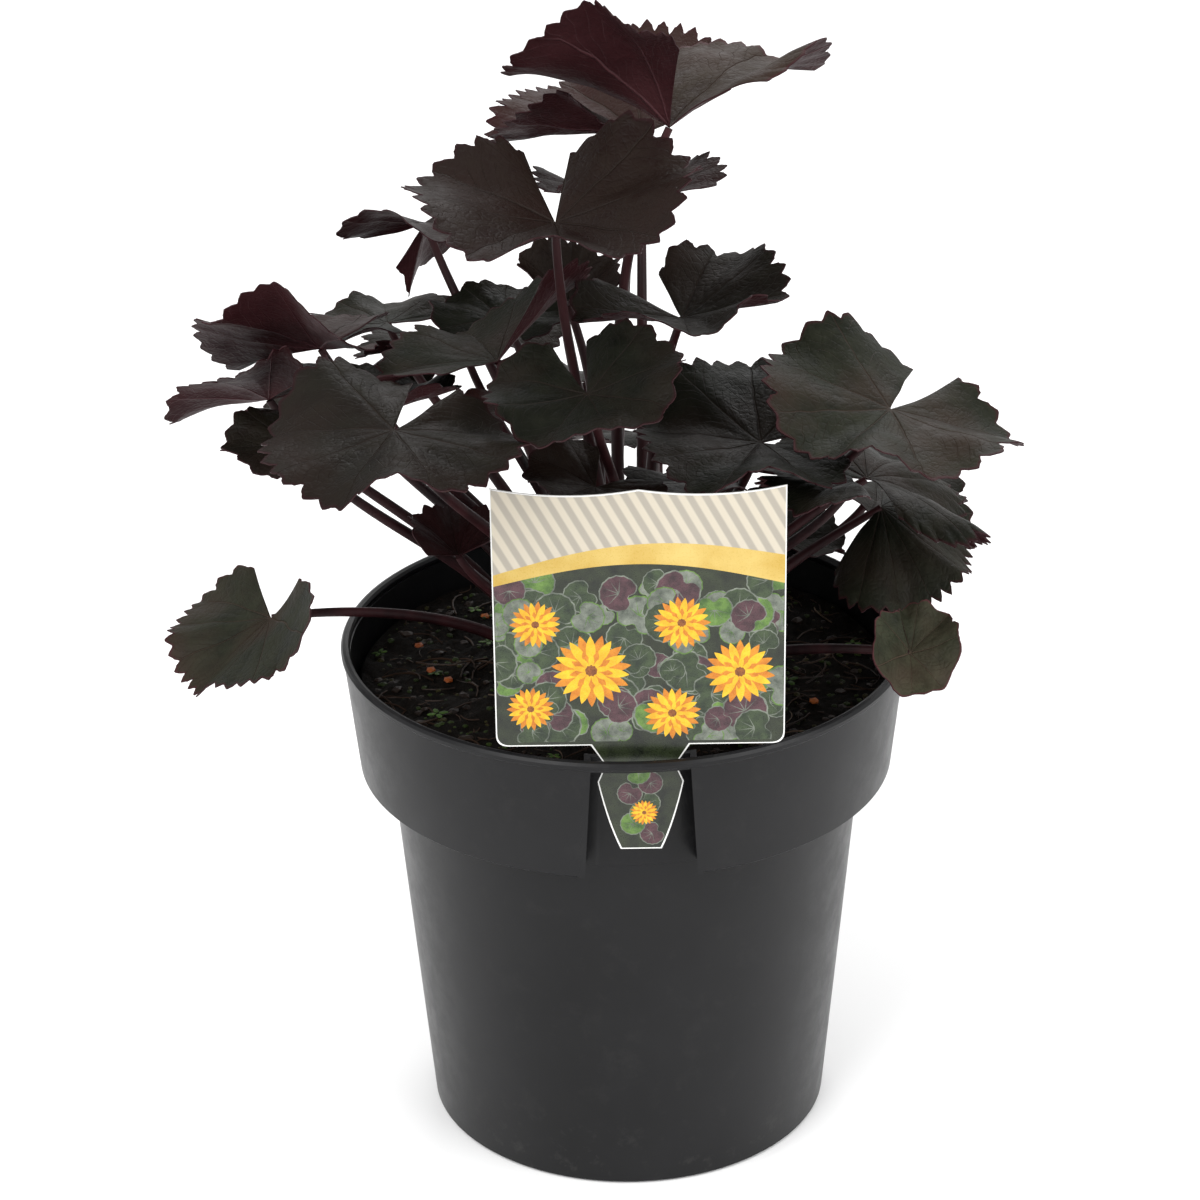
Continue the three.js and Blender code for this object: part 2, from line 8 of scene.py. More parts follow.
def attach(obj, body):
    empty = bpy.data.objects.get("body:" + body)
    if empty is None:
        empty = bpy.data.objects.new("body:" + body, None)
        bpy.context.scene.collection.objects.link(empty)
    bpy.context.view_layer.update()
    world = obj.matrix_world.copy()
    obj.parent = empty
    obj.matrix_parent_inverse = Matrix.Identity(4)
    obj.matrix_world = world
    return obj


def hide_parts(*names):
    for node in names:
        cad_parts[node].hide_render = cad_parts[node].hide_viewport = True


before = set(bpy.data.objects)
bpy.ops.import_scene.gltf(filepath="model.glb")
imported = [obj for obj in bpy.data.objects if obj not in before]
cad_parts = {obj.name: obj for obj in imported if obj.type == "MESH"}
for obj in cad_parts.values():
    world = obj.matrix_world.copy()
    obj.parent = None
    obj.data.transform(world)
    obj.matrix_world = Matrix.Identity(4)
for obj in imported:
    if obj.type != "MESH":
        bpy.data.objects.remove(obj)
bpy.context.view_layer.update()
mm = 0.001
print("frame loaded")


# small helpers for meshes

def deselectAll():
    if bpy.context.object and bpy.context.object.mode != "OBJECT":
        bpy.ops.object.mode_set(mode="OBJECT")
    bpy.ops.object.select_all(action="DESELECT")


def makeActive(piece):
    deselectAll()
    piece.select_set(True)
    bpy.context.view_layer.objects.active = piece


def applyModifiers(piece):
    makeActive(piece)
    for modifier in list(piece.modifiers):
        bpy.ops.object.modifier_apply(modifier=modifier.name)


def cut(piece, tool, operation):
    makeActive(piece)
    boolean = piece.modifiers.new("cut", "BOOLEAN")
    boolean.operation = operation
    boolean.object = tool
    boolean.solver = "EXACT"
    bpy.ops.object.modifier_apply(modifier=boolean.name)


def removeTool(tool):
    bpy.data.objects.remove(tool)


def joinInto(piece, others):
    makeActive(piece)
    for other in others:
        other.select_set(True)
    bpy.ops.object.join()
    return piece


def turnProfile(name, points, steps):
    # a profile of (radius, height) pairs in mm, extruded point by point and spun about the axis
    deselectAll()
    bpy.ops.mesh.primitive_plane_add(size=1 * mm)
    piece = bpy.context.object
    piece.name = name
    bpy.ops.object.mode_set(mode="EDIT")
    bpy.ops.mesh.merge(type="CENTER")
    at = Vector((points[0][0] * mm, 0, points[0][1] * mm))
    bpy.ops.transform.translate(value=at)
    for radius, height in points[1:]:
        target = Vector((radius * mm, 0, height * mm))
        bpy.ops.mesh.extrude_region_move(TRANSFORM_OT_translate={"value": target - at})
        at = target
    bpy.ops.mesh.select_all(action="SELECT")
    bpy.ops.mesh.spin(steps=steps, angle=2 * math.pi, center=(0, 0, 0), axis=(0, 0, 1))
    bpy.ops.mesh.select_all(action="SELECT")
    bpy.ops.mesh.remove_doubles(threshold=0.01 * mm)
    bpy.ops.mesh.normals_make_consistent(inside=False)
    bpy.ops.object.mode_set(mode="OBJECT")
    return piece


def smoothByAngle(piece, degrees):
    makeActive(piece)
    bpy.ops.object.shade_smooth_by_angle(angle=math.radians(degrees))


def finishPiece(piece, degrees, material):
    smoothByAngle(piece, degrees)
    piece.data.materials.clear()
    piece.data.materials.append(material)


def copyScattered(name, template, places, materials):
    # one mesh out of many placed copies of a small template mesh; index picks the material
    verts, faces, slots = [], [], []
    base = [vertex.co.copy() for vertex in template.vertices]
    for place, slotIndex in places:
        start = len(verts)
        verts.extend(place @ co for co in base)
        for polygon in template.polygons:
            faces.append([start + i for i in polygon.vertices])
            slots.append(slotIndex)
    mesh = bpy.data.meshes.new(name)
    mesh.from_pydata(verts, [], faces)
    for material in materials:
        mesh.materials.append(material)
    mesh.polygons.foreach_set("material_index", slots)
    mesh.validate()
    piece = bpy.data.objects.new(name, mesh)
    bpy.context.scene.collection.objects.link(piece)
    return piece


# small helpers for materials

def feed(tree, socket, value):
    if isinstance(value, bpy.types.NodeSocket):
        tree.links.new(value, socket)
    elif value is not None:
        socket.default_value = value


def mathNode(tree, operation, first, second=None, third=None):
    node = tree.nodes.new("ShaderNodeMath")
    node.operation = operation
    for socket, value in zip(node.inputs, (first, second, third)):
        feed(tree, socket, value)
    return node.outputs[0]


def rangeNode(tree, value, fromLow, fromHigh, toLow=0.0, toHigh=1.0, smooth=False):
    node = tree.nodes.new("ShaderNodeMapRange")
    if smooth:
        node.interpolation_type = "SMOOTHSTEP"
    feed(tree, node.inputs["Value"], value)
    ends = {"From Min": fromLow, "From Max": fromHigh, "To Min": toLow, "To Max": toHigh}
    for key, number in ends.items():
        feed(tree, node.inputs[key], number)
    return node.outputs["Result"]


def mixNode(tree, factor, first, second):
    node = tree.nodes.new("ShaderNodeMix")
    node.data_type = "RGBA"
    feed(tree, node.inputs["Factor"], factor)
    feed(tree, node.inputs[6], first)
    feed(tree, node.inputs[7], second)
    return node.outputs[2]


def shadeBetween(tree, mask, low, high, dark, light):
    return mixNode(tree, rangeNode(tree, mask, low, high), dark, light)


def noiseNode(tree, point, scale, detail=4.0, roughness=0.55):
    node = tree.nodes.new("ShaderNodeTexNoise")
    feed(tree, node.inputs["Vector"], point)
    for key, number in (("Scale", scale), ("Detail", detail), ("Roughness", roughness)):
        feed(tree, node.inputs[key], number)
    return node.outputs[0]


def cellNode(tree, point, scale, feature="DISTANCE_TO_EDGE"):
    node = tree.nodes.new("ShaderNodeTexVoronoi")
    node.feature = feature
    feed(tree, node.inputs["Vector"], point)
    feed(tree, node.inputs["Scale"], scale)
    return node.outputs["Distance"]


def bumpNode(tree, height, strength, distance):
    node = tree.nodes.new("ShaderNodeBump")
    feed(tree, node.inputs["Height"], height)
    node.inputs["Strength"].default_value = strength
    node.inputs["Distance"].default_value = distance
    return node.outputs[0]


def objectPoint(tree):
    return tree.nodes.new("ShaderNodeTexCoord").outputs["Object"]


def startMaterial(name):
    material = bpy.data.materials.new(name)
    material.use_nodes = True
    tree = material.node_tree
    return material, tree, tree.nodes["Principled BSDF"]


def startGroup(name, inputs, outputs):
    tree = bpy.data.node_groups.new(name, "ShaderNodeTree")
    for label, kind, value in inputs:
        socket = tree.interface.new_socket(label, in_out="INPUT", socket_type=kind)
        if value is not None:
            socket.default_value = value
    for label, kind in outputs:
        tree.interface.new_socket(label, in_out="OUTPUT", socket_type=kind)
    return tree, tree.nodes.new("NodeGroupInput").outputs, tree.nodes.new("NodeGroupOutput").inputs


def placeGroup(tree, group, values):
    node = tree.nodes.new("ShaderNodeGroup")
    node.node_tree = group
    for key, value in values.items():
        feed(tree, node.inputs[key], value)
    return node.outputs


def colour(red, green, blue):
    return (red, green, blue, 1.0)


# shader groups

# veins and branches by number, rises as shares of the bump's height
veinShape = {
    "mains": 8.0, "wander": 0.03, "breadth": 27.0,
    "branches": 6.5, "slant": 6.0, "branchWander": 2.2,
    "meshScale": 380.0, "mottleScale": 130.0, "patchScale": 28.0,
    "mainRise": -1.0, "branchRise": -0.5, "meshRise": -0.13, "mottleRise": 1.3,
}


def makeVeinGroup():
    # palmate veins: Across runs round the blade, Outward from the stalk to the margin
    shape = veinShape
    tree, given, result = startGroup(
        "leafVeins",
        [("Point", "NodeSocketVector", None), ("Across", "NodeSocketFloat", 0.5),
         ("Outward", "NodeSocketFloat", 0.5)],
        [(name, "NodeSocketFloat") for name in ("Main", "Side", "Height", "Mottle", "Patch")],
    )
    point, across, outward = given["Point"], given["Across"], given["Outward"]
    wander = noiseNode(tree, point, 48.0, 2.0)
    shift = mathNode(tree, "MULTIPLY_ADD", wander, shape["wander"], -shape["wander"] / 2)
    wandered = mathNode(tree, "ADD", across, shift)
    phase = mathNode(tree, "FRACT", mathNode(tree, "MULTIPLY_ADD", wandered, shape["mains"], 0.5))
    offVein = mathNode(tree, "ABSOLUTE", mathNode(tree, "SUBTRACT", phase, 0.5))
    apart = mathNode(tree, "MULTIPLY", mathNode(tree, "MULTIPLY", offVein, outward), shape["breadth"])
    slim = mathNode(tree, "MULTIPLY_ADD", outward, -0.5, 1.0)
    mainVein = rangeNode(tree, mathNode(tree, "DIVIDE", apart, slim), 0.1, 0.62, 1.0, 0.0, True)
    # branches leave each main vein at a slant, each side of a vein with its own spacing
    side = tree.nodes.new("ShaderNodeTexWhiteNoise")
    side.noise_dimensions = "1D"
    half = mathNode(tree, "FLOOR", mathNode(tree, "MULTIPLY", across, 2 * shape["mains"]))
    feed(tree, side.inputs["W"], half)
    along = mathNode(tree, "MULTIPLY", outward, shape["branches"])
    ladder = mathNode(tree, "SUBTRACT", along, mathNode(tree, "MULTIPLY", offVein, shape["slant"]))
    jitter = mathNode(tree, "MULTIPLY_ADD", wander, shape["branchWander"], side.outputs["Value"])
    ladder = mathNode(tree, "FRACT", mathNode(tree, "ADD", ladder, jitter))
    rung = mathNode(tree, "ABSOLUTE", mathNode(tree, "SUBTRACT", ladder, 0.5))
    fade = rangeNode(tree, noiseNode(tree, point, 110.0, 2.0), 0.38, 0.62)
    sideVein = mathNode(tree, "MULTIPLY", rangeNode(tree, rung, 0.012, 0.06, 1.0, 0.0, True), fade)
    mesh = rangeNode(tree, cellNode(tree, point, shape["meshScale"]), 0.02, 0.2, 1.0, 0.0, True)
    mottle = noiseNode(tree, point, shape["mottleScale"], 5.0, 0.62)
    patch = noiseNode(tree, point, shape["patchScale"], 3.0, 0.5)
    height = 0.0
    layers = {"mainRise": mainVein, "branchRise": sideVein, "meshRise": mesh, "mottleRise": mottle}
    for rise, layer in layers.items():
        height = mathNode(tree, "MULTIPLY_ADD", layer, shape[rise], height)
    made = {"Main": mainVein, "Side": sideVein, "Height": height, "Mottle": mottle, "Patch": patch}
    for key, socket in made.items():
        tree.links.new(socket, result[key])
    return tree


def makeMottleGroup():
    # broad patches, fine grain and small pits, for everything but the blades
    tree, given, result = startGroup(
        "mottleAndGrain",
        [("Point", "NodeSocketVector", None), ("Patch Scale", "NodeSocketFloat", 20.0),
         ("Grain Scale", "NodeSocketFloat", 600.0)],
        [(name, "NodeSocketFloat") for name in ("Patch", "Grain", "Pits")],
    )
    point, grainScale = given["Point"], given["Grain Scale"]
    tree.links.new(noiseNode(tree, point, given["Patch Scale"], 4.0, 0.6), result["Patch"])
    tree.links.new(noiseNode(tree, point, grainScale, 3.0, 0.7), result["Grain"])
    tree.links.new(rangeNode(tree, cellNode(tree, point, grainScale, "F1"), 0.0, 0.6), result["Pits"])
    return tree


veinGroup = makeVeinGroup()
mottleGroup = makeMottleGroup()


def placeMottle(tree, point, patchScale, grainScale):
    values = {"Point": point, "Patch Scale": patchScale, "Grain Scale": grainScale}
    return placeGroup(tree, mottleGroup, values)


print("shader groups made")


# leaf finishes

leafFinish = {
    "upperDark": colour(0.0026, 0.0030, 0.0017),
    "upperLight": colour(0.0078, 0.0084, 0.0050),
    "upperBronze": colour(0.0125, 0.0075, 0.0055),
    "upperVein": colour(0.0170, 0.0115, 0.0085),
    "upperPurple": colour(0.0270, 0.0052, 0.0068),
    "upperRim": colour(0.0160, 0.0035, 0.0050),
    "underDark": colour(0.0150, 0.0033, 0.0042),
    "underLight": colour(0.0450, 0.0140, 0.0160),
    "underVein": colour(0.0700, 0.0250, 0.0290),
    "edgeDark": colour(0.0170, 0.0040, 0.0052),
    "edgeLight": colour(0.030, 0.009, 0.011),
    "stalkDark": colour(0.0080, 0.0030, 0.0035),
    "stalkLight": colour(0.0340, 0.0095, 0.0110),
    "upperVeinShare": {"Side": 0.35, "Main": 0.6},
    "underVeinShare": {"Side": 0.45, "Main": 0.75},
    # how much paler the painted light and sheen make the upper sides of the lit leaves
    "paintedLightGain": 1.6,
    "upperRoughness": (0.42, 0.62),
    "underRoughness": (0.42, 0.60),
    "upperSpecular": 0.085,
    "underSpecular": 0.1,
    "bump": (0.7, 0.8 * mm),
}


def leafInputs(tree):
    uv = tree.nodes.new("ShaderNodeSeparateXYZ")
    tree.links.new(tree.nodes.new("ShaderNodeUVMap").outputs[0], uv.inputs[0])
    across, outward = uv.outputs[0], uv.outputs[1]
    veins = placeGroup(tree, veinGroup, {"Point": objectPoint(tree), "Across": across, "Outward": outward})
    return outward, veins


def leafTint(tree, name):
    tint = tree.nodes.new("ShaderNodeAttribute")
    tint.attribute_name = name
    return tint.outputs["Fac"]


def tintVeins(tree, veins, base, tint, shares):
    for vein, share in shares.items():
        base = mixNode(tree, mathNode(tree, "MULTIPLY", veins[vein], share), base, tint)
    return base


def makeLeafUpper():
    material, tree, shader = startMaterial("leafUpperBronzeGreen")
    outward, veins = leafInputs(tree)
    finish = leafFinish
    base = shadeBetween(tree, veins["Mottle"], 0.3, 0.7, finish["upperDark"], finish["upperLight"])
    bronze = rangeNode(tree, veins["Patch"], 0.42, 0.68, 0.0, 0.8)
    base = mixNode(tree, bronze, base, finish["upperBronze"])
    flush = rangeNode(tree, veins["Patch"], 0.62, 0.32, 0.45, 1.0)
    purple = mathNode(tree, "MULTIPLY", leafTint(tree, "purpleShare"), flush)
    base = mixNode(tree, purple, base, finish["upperPurple"])
    base = tintVeins(tree, veins, base, finish["upperVein"], finish["upperVeinShare"])
    base = mixNode(tree, rangeNode(tree, outward, 0.95, 1.0, 0.0, 0.8, True), base, finish["upperRim"])
    # painted light and sheen: the upper colour of the lit leaves is scaled paler by their share
    grade = tree.nodes.new("ShaderNodeVectorMath")
    grade.operation = "SCALE"
    feed(tree, grade.inputs[0], base)
    pale = leafTint(tree, "paintedLightShare")
    feed(tree, grade.inputs["Scale"], mathNode(tree, "MULTIPLY_ADD", pale, finish["paintedLightGain"], 1.0))
    feed(tree, shader.inputs["Base Color"], grade.outputs[0])
    roughness = rangeNode(tree, veins["Mottle"], 0.3, 0.7, *finish["upperRoughness"])
    feed(tree, shader.inputs["Roughness"], roughness)
    shader.inputs["Specular IOR Level"].default_value = finish["upperSpecular"]
    feed(tree, shader.inputs["Normal"], bumpNode(tree, veins["Height"], *finish["bump"]))
    return material


def makeLeafUnder():
    material, tree, shader = startMaterial("leafUnderBurgundy")
    veins = leafInputs(tree)[1]
    finish = leafFinish
    base = shadeBetween(tree, veins["Patch"], 0.3, 0.72, finish["underDark"], finish["underLight"])
    base = tintVeins(tree, veins, base, finish["underVein"], finish["underVeinShare"])
    feed(tree, shader.inputs["Base Color"], base)
    roughness = rangeNode(tree, veins["Mottle"], 0.3, 0.7, *finish["underRoughness"])
    feed(tree, shader.inputs["Roughness"], roughness)
    shader.inputs["Specular IOR Level"].default_value = finish["underSpecular"]
    raised = mathNode(tree, "MULTIPLY", veins["Height"], -1.0)
    feed(tree, shader.inputs["Normal"], bumpNode(tree, raised, *finish["bump"]))
    return material


def makeStalkSkin(name, dark, light):
    # streaked along the height, for stalks and for what lies on the compost
    material, tree, shader = startMaterial(name)
    stretch = tree.nodes.new("ShaderNodeMapping")
    stretch.inputs["Scale"].default_value = (1.0, 1.0, 0.12)
    tree.links.new(objectPoint(tree), stretch.inputs["Vector"])
    skin = placeMottle(tree, stretch.outputs[0], 60.0, 700.0)
    base = shadeBetween(tree, skin["Patch"], 0.35, 0.65, dark, light)
    feed(tree, shader.inputs["Base Color"], base)
    feed(tree, shader.inputs["Roughness"], rangeNode(tree, skin["Grain"], 0.3, 0.7, 0.38, 0.55))
    shader.inputs["Specular IOR Level"].default_value = 0.14
    feed(tree, shader.inputs["Normal"], bumpNode(tree, skin["Grain"], 0.25, 0.3 * mm))
    return material


upperSkin = makeLeafUpper()
underSkin = makeLeafUnder()
edgeSkin = makeStalkSkin("leafEdgePurple", leafFinish["edgeDark"], leafFinish["edgeLight"])
stalkSkin = makeStalkSkin("stalkMaroon", leafFinish["stalkDark"], leafFinish["stalkLight"])
leafSkins = (upperSkin, underSkin, edgeSkin, stalkSkin)
print("leaf finishes made")


# leaves

# joint, reach and bow in mm, angles in degrees; right, back, left and front are the rises
leafShape = {
    "thickness": 0.4, "smooth": 50,
    "toothDepth": 0.09, "teethPerReach": 0.36, "stepsPerTooth": 10, "outwardSteps": 16,
    "notch": 22, "lobe": 0.66, "lobeStart": 0.72, "meet": 63,
    "ruffle": 6, "ruffleCount": 5, "marginWave": 0.02, "waves": 7,
    "veins": 8, "veinBreadth": 1.1, "veinRelief": 0.22, "quilt": 0.25, "dents": 1.1,
    "stalkBase": 2.5, "stalkTip": 1.3, "stalkLift": 16, "stalkUpright": 0.35, "stalkArrival": 0.3,
    "stalkTuck": 0.3, "stalkSteps": 26, "stalkSides": 3,
}

leaves = [
    {"joint": (16, 5, 348), "heading": 128, "reach": 57, "rise": (24, 6, 25, 56), "skew": 3, "curl": -30,
     "notch": 30, "tooth": 0.5},
    {"joint": (8, 70, 325), "heading": 152, "reach": 55, "rise": (4, 22, 5, 24), "skew": 5, "curl": 0,
     "notch": 60},
    {"joint": (-20, -48, 335), "heading": 275, "reach": 46, "rise": (20, 26, 14, 6), "skew": 2, "curl": 0,
     "notch": 14, "meet": 88, "lobe": 0.72},
    {"joint": (4, 72, 301), "heading": 120, "reach": 35, "rise": (17, 8, 15, 32), "curl": 0, "notch": 45},
    {"joint": (-65, 62, 298), "heading": 345, "reach": 34, "rise": (30, -45, -20, 16), "skew": 18,
     "curl": 0, "notch": 15},
    {"joint": (-39, -32, 284), "heading": 110, "reach": 41, "rise": (54, 8, -5, 30), "skew": -4,
     "curl": -10, "notch": 58},
    {"joint": (-38, 30, 275), "heading": 90, "reach": 25, "rise": (8, 12, 8, 0), "curl": 0},
    {"joint": (-17, 13, 286), "heading": 45, "reach": 23, "rise": (40, 60, 40, 20), "curl": 0, "notch": 32},
    {"joint": (-97, 0, 277), "heading": 180, "reach": 45, "rise": (5, -8, 6, 36), "skew": 12, "curl": 0,
     "notch": 42, "lobe": 0.5, "tooth": 0.7},
    {"joint": (-79, 60, 263), "heading": 135, "reach": 27, "rise": (6, 0, 6, 10), "curl": 0},
    {"joint": (-114, -6, 262), "heading": 170, "reach": 36, "rise": (10, -10, -8, 42), "curl": -10,
     "notch": 35},
    {"joint": (-101, -45, 262), "heading": 180, "reach": 27, "rise": (10, 12, 4, 6), "curl": 0},
    {"joint": (-69, -88, 284), "heading": 248, "reach": 41, "rise": (-8, 9, -8, -6), "skew": -5,
     "curl": -8, "notch": 14, "lobe": 0.8},
    {"joint": (-75, -36, 269), "heading": 90, "reach": 25, "rise": (22, 12, 42, 40), "curl": 0},
    {"joint": (19, -20, 293), "heading": 312, "reach": 37, "rise": (22, 22, 16, 17), "curl": 5,
     "notch": 22, "lobe": 0.6},
    {"joint": (-11, -76, 290), "heading": 285, "reach": 31, "rise": (18, 24, 2, -6), "curl": 0,
     "notch": 15, "lobe": 0.8},
    {"joint": (-9, -61, 253), "heading": 232, "reach": 23, "rise": (0, 28, 14, 7), "curl": -10, "notch": 30},
    {"joint": (21, -36, 244), "heading": 190, "reach": 23, "rise": (4, -14, 5, 8), "curl": -10},
    {"joint": (43, -46, 261), "heading": 172, "reach": 43, "rise": (8, 20, 6, 5), "curl": 0},
    {"joint": (83, -47, 272), "heading": 240, "reach": 42, "rise": (-13, 14, 12, -4), "skew": -6,
     "curl": 0, "notch": 13, "lobe": 0.85, "bow": (0, 10)},
    {"joint": (79, -15, 235), "heading": 35, "reach": 46, "rise": (-30, -5, 5, 8), "curl": -40,
     "notch": 70, "meet": 30},
    {"joint": (86, 10, 214), "heading": 335, "reach": 40, "rise": (-30, -5, -10, -42), "curl": -15,
     "notch": 70, "meet": 25},
    {"joint": (55, 27, 195), "heading": 50, "reach": 22, "rise": (-5, 38, 30, 20), "curl": 0, "meet": 30},
    {"joint": (91, -52, 190), "heading": 310, "reach": 18, "rise": (25, 45, 60, -30), "curl": 0,
     "notch": 14, "lobe": 0.8, "meet": 0},
    {"joint": (-118, 0, 181), "heading": 213, "reach": 39, "rise": (76, 30, -22, -4), "curl": 0,
     "notch": 75, "lobe": 0.6, "meet": -10},
    {"joint": (-53, -40, 221), "heading": 105, "reach": 20, "rise": (30, 34, 40, 10), "curl": 0, "notch": 62},
    {"joint": (71, -62, 254), "heading": 185, "reach": 33, "rise": (0, -18, 0, 8), "curl": -20, "notch": 85},
    {"joint": (40, 28, 221), "heading": 90, "reach": 20, "rise": (5, -8, 5, 10), "curl": 0},
    {"joint": (-40, -53, 276), "heading": 130, "reach": 15, "rise": (10, 4, 8, 8), "curl": 0},
    {"joint": (-95, 60, 236), "heading": 155, "reach": 36, "rise": (8, -5, -10, 10), "curl": -10},
    {"joint": (-55, 92, 243), "heading": 120, "reach": 38, "rise": (5, -12, 0, 14), "curl": -10},
    {"joint": (-12, 82, 232), "heading": 95, "reach": 32, "rise": (6, -10, 4, 16), "curl": -10},
    {"joint": (52, 93, 224), "heading": 60, "reach": 33, "rise": (-5, -14, 6, 14), "curl": -15},
    {"joint": (90, 72, 197), "heading": 20, "reach": 34, "rise": (-8, -4, 8, 6), "curl": -10, "bow": (0, 14)},
    {"joint": (14, 118, 196), "heading": 90, "reach": 36, "rise": (4, -25, 2, 14), "curl": -20, "meet": 10},
]

# how purple the upper sides of some leaves are, by leaf number, and how much painted light and sheen make the
# upper sides of the lit leaves paler
purpleLeaves = {
    1: 0.2, 2: 0.5, 3: 0.3, 4: 0.8, 5: 0.5, 8: 0.2, 9: 0.5, 11: 0.5, 12: 0.1, 13: 0.1, 15: 0.1,
    17: 0.2, 26: 1.0, 29: 0.6,
}
paintedLightLeaves = {1: 1.0, 2: 0.5, 6: 0.3, 9: 0.3, 10: 0.3, 20: 0.7, 21: 0.3, 22: 0.5, 24: 2.5, 25: 1.2}

crownShape = {
    "soilTop": 160, "crownRise": 5, "socketDepth": 11, "rings": (1, 6, 12, 18), "spacing": 10, "drift": 0.35,
    "depth": 17, "collar": 4, "clear": 0.4, "rounds": 14, "steps": 96, "lumps": 1.3, "smooth": 60,
    "sheathFoot": 4.2, "sheathTop": 2.75, "sheathHeight": 9, "sheathSides": 18,
    "dark": colour(0.010, 0.006, 0.005), "light": colour(0.060, 0.025, 0.020),
}


def layOutSockets():
    floor = crownShape["soilTop"]

    def lean(index):
        x, y, z = leaves[index]["joint"]
        return math.hypot(x, y) / (z - floor)

    def direction(index):
        return math.atan2(leaves[index]["joint"][1], leaves[index]["joint"][0])

    order = sorted(range(len(leaves)), key=lean)
    sockets = {}
    taken = 0
    for ring, count in enumerate(crownShape["rings"]):
        members = sorted(order[taken:taken + count], key=direction)
        taken += count
        for place, index in enumerate(members):
            even = -math.pi + (place + 0.5) / len(members) * 2 * math.pi
            angle = even + crownShape["drift"] * (direction(index) - even)
            radius = ring * crownShape["spacing"]
            height = floor + crownShape["crownRise"] - crownShape["socketDepth"]
            sockets[index] = Vector((radius * math.cos(angle), radius * math.sin(angle), height))
    return sockets


sockets = layOutSockets()


def riseTowards(leaf, direction):
    right, back, left, front = (math.radians(value) for value in leaf["rise"])
    mean = (right + back + left + front) / 4
    tilt = (right - left) / 2 * math.cos(direction) + (back - front) / 2 * math.sin(direction)
    fold = (right + left - back - front) / 4 * math.cos(2 * direction)
    return mean + tilt + fold + math.radians(leaf.get("skew", 0)) * math.sin(2 * direction)


def reachAt(leaf, angle, halfSpan):
    turn = abs(angle)
    kidney = 1 - 0.02 * math.cos(turn) - 0.04 * math.cos(2 * turn)
    start = leafShape["lobeStart"] * halfSpan
    share = max(0.0, (turn - start) / (halfSpan - start))
    return leaf["reach"] * kidney * (1 - (1 - leaf.get("lobe", leafShape["lobe"])) * share ** 2.2)


def bladePoint(leaf, index, angle, out, reach):
    direction = math.radians(leaf["heading"]) + angle
    curl = math.radians(leaf["curl"])
    ruffle = math.radians(leafShape["ruffle"]) * math.sin(leafShape["ruffleCount"] * angle + index) * out
    rise = riseTowards(leaf, direction) + ruffle
    start = rise - curl / 2
    end = start + curl * out
    along, up = math.cos(start) * out, math.sin(start) * out
    if abs(curl) > 0.01:
        along = (math.sin(end) - math.sin(start)) / curl
        up = (math.cos(start) - math.cos(end)) / curl
    x, y, z = leaf["joint"]
    sideways = reach * along
    return Vector((x + sideways * math.cos(direction), y + sideways * math.sin(direction), z + reach * up))


def toothAt(u, teeth, index):
    # convex teeth with pointed tips and narrow bays, no two quite alike, and a small tooth here and there
    place = u * teeth + 0.22 * noise.noise(Vector((u * teeth * 0.6, index * 2.3, 4.0)))
    off = min(1.0, abs(place - round(place)) * 2)
    whim = noise.noise(Vector((math.floor(place) * 1.7, index * 3.1, 0.5)))
    bay = 1 - (1 - off) ** 0.9
    small = max(0.0, 1 - abs(off - 0.62) * 5) * (0.2 + whim)
    tip = 0.22 * noise.noise(Vector((round(place) * 1.3, index * 5.1, 8.0)))
    return leafShape["toothDepth"] * max(0.0, bay * (1 + 0.7 * whim) - 0.35 * small + tip * (1 - off))


def reliefAt(leaf, index, u, out, place, reach, halfSpan):
    # quilting between sunken veins, dents and the margin's waves, mm
    shape = leafShape
    inner = min(1.0, out * 2)
    phase = (u * shape["veins"] + 0.5) % 1 - 0.5
    apart = abs(phase) / shape["veins"] * 2 * halfSpan * reach * out
    vein = math.exp(-(apart / shape["veinBreadth"]) ** 2) * (1 - 0.6 * out) * min(1.0, out * 6)
    quilt = shape["quilt"] * math.sin(math.pi * min(1.0, abs(phase) * 2)) * inner * (1 - out * 0.5)
    dents = shape["dents"] * noise.noise(Vector((place.x, place.y, index * 9.0)) * 0.09) * inner
    swing = math.sin(shape["waves"] * 2 * math.pi * u + index * 1.7)
    wave = shape["marginWave"] * leaf.get("tooth", 1) * reach * out ** 3 * swing
    return quilt + dents - shape["veinRelief"] * vein + wave


def makeBlade(leaf, index):
    halfSpan = math.pi - math.radians(leaf.get("notch", leafShape["notch"]))
    teeth = 2 * round(leafShape["teethPerReach"] * leaf["reach"])
    deselectAll()
    bpy.ops.mesh.primitive_grid_add(x_subdivisions=teeth * leafShape["stepsPerTooth"],
                                    y_subdivisions=leafShape["outwardSteps"], size=1)
    blade = bpy.context.object
    for vertex in blade.data.vertices:
        u, out = vertex.co.x + 0.5, vertex.co.y + 0.5
        angle = halfSpan * (1 - 2 * u)
        reach = reachAt(leaf, angle, halfSpan)
        edge = max(0.0, (out - 0.75) / 0.25)
        toothed = reach * (1 - toothAt(u, teeth, index) * leaf.get("tooth", 1) * edge ** 1.5)
        place = bladePoint(leaf, index, angle, out, toothed)
        place.z += reliefAt(leaf, index, u, out, place, reach, halfSpan)
        vertex.co = place * mm
    makeActive(blade)
    bpy.ops.object.mode_set(mode="EDIT")
    bpy.ops.mesh.select_all(action="SELECT")
    bpy.ops.mesh.remove_doubles(threshold=0.02 * mm)
    bpy.ops.object.mode_set(mode="OBJECT")
    for skin in leafSkins:
        blade.data.materials.append(skin)
    skinDepth = blade.modifiers.new("thickness", "SOLIDIFY")
    skinDepth.thickness = leafShape["thickness"] * mm
    skinDepth.offset = 0.0
    skinDepth.material_offset = leafSkins.index(underSkin)
    skinDepth.material_offset_rim = leafSkins.index(edgeSkin)
    applyModifiers(blade)
    return blade


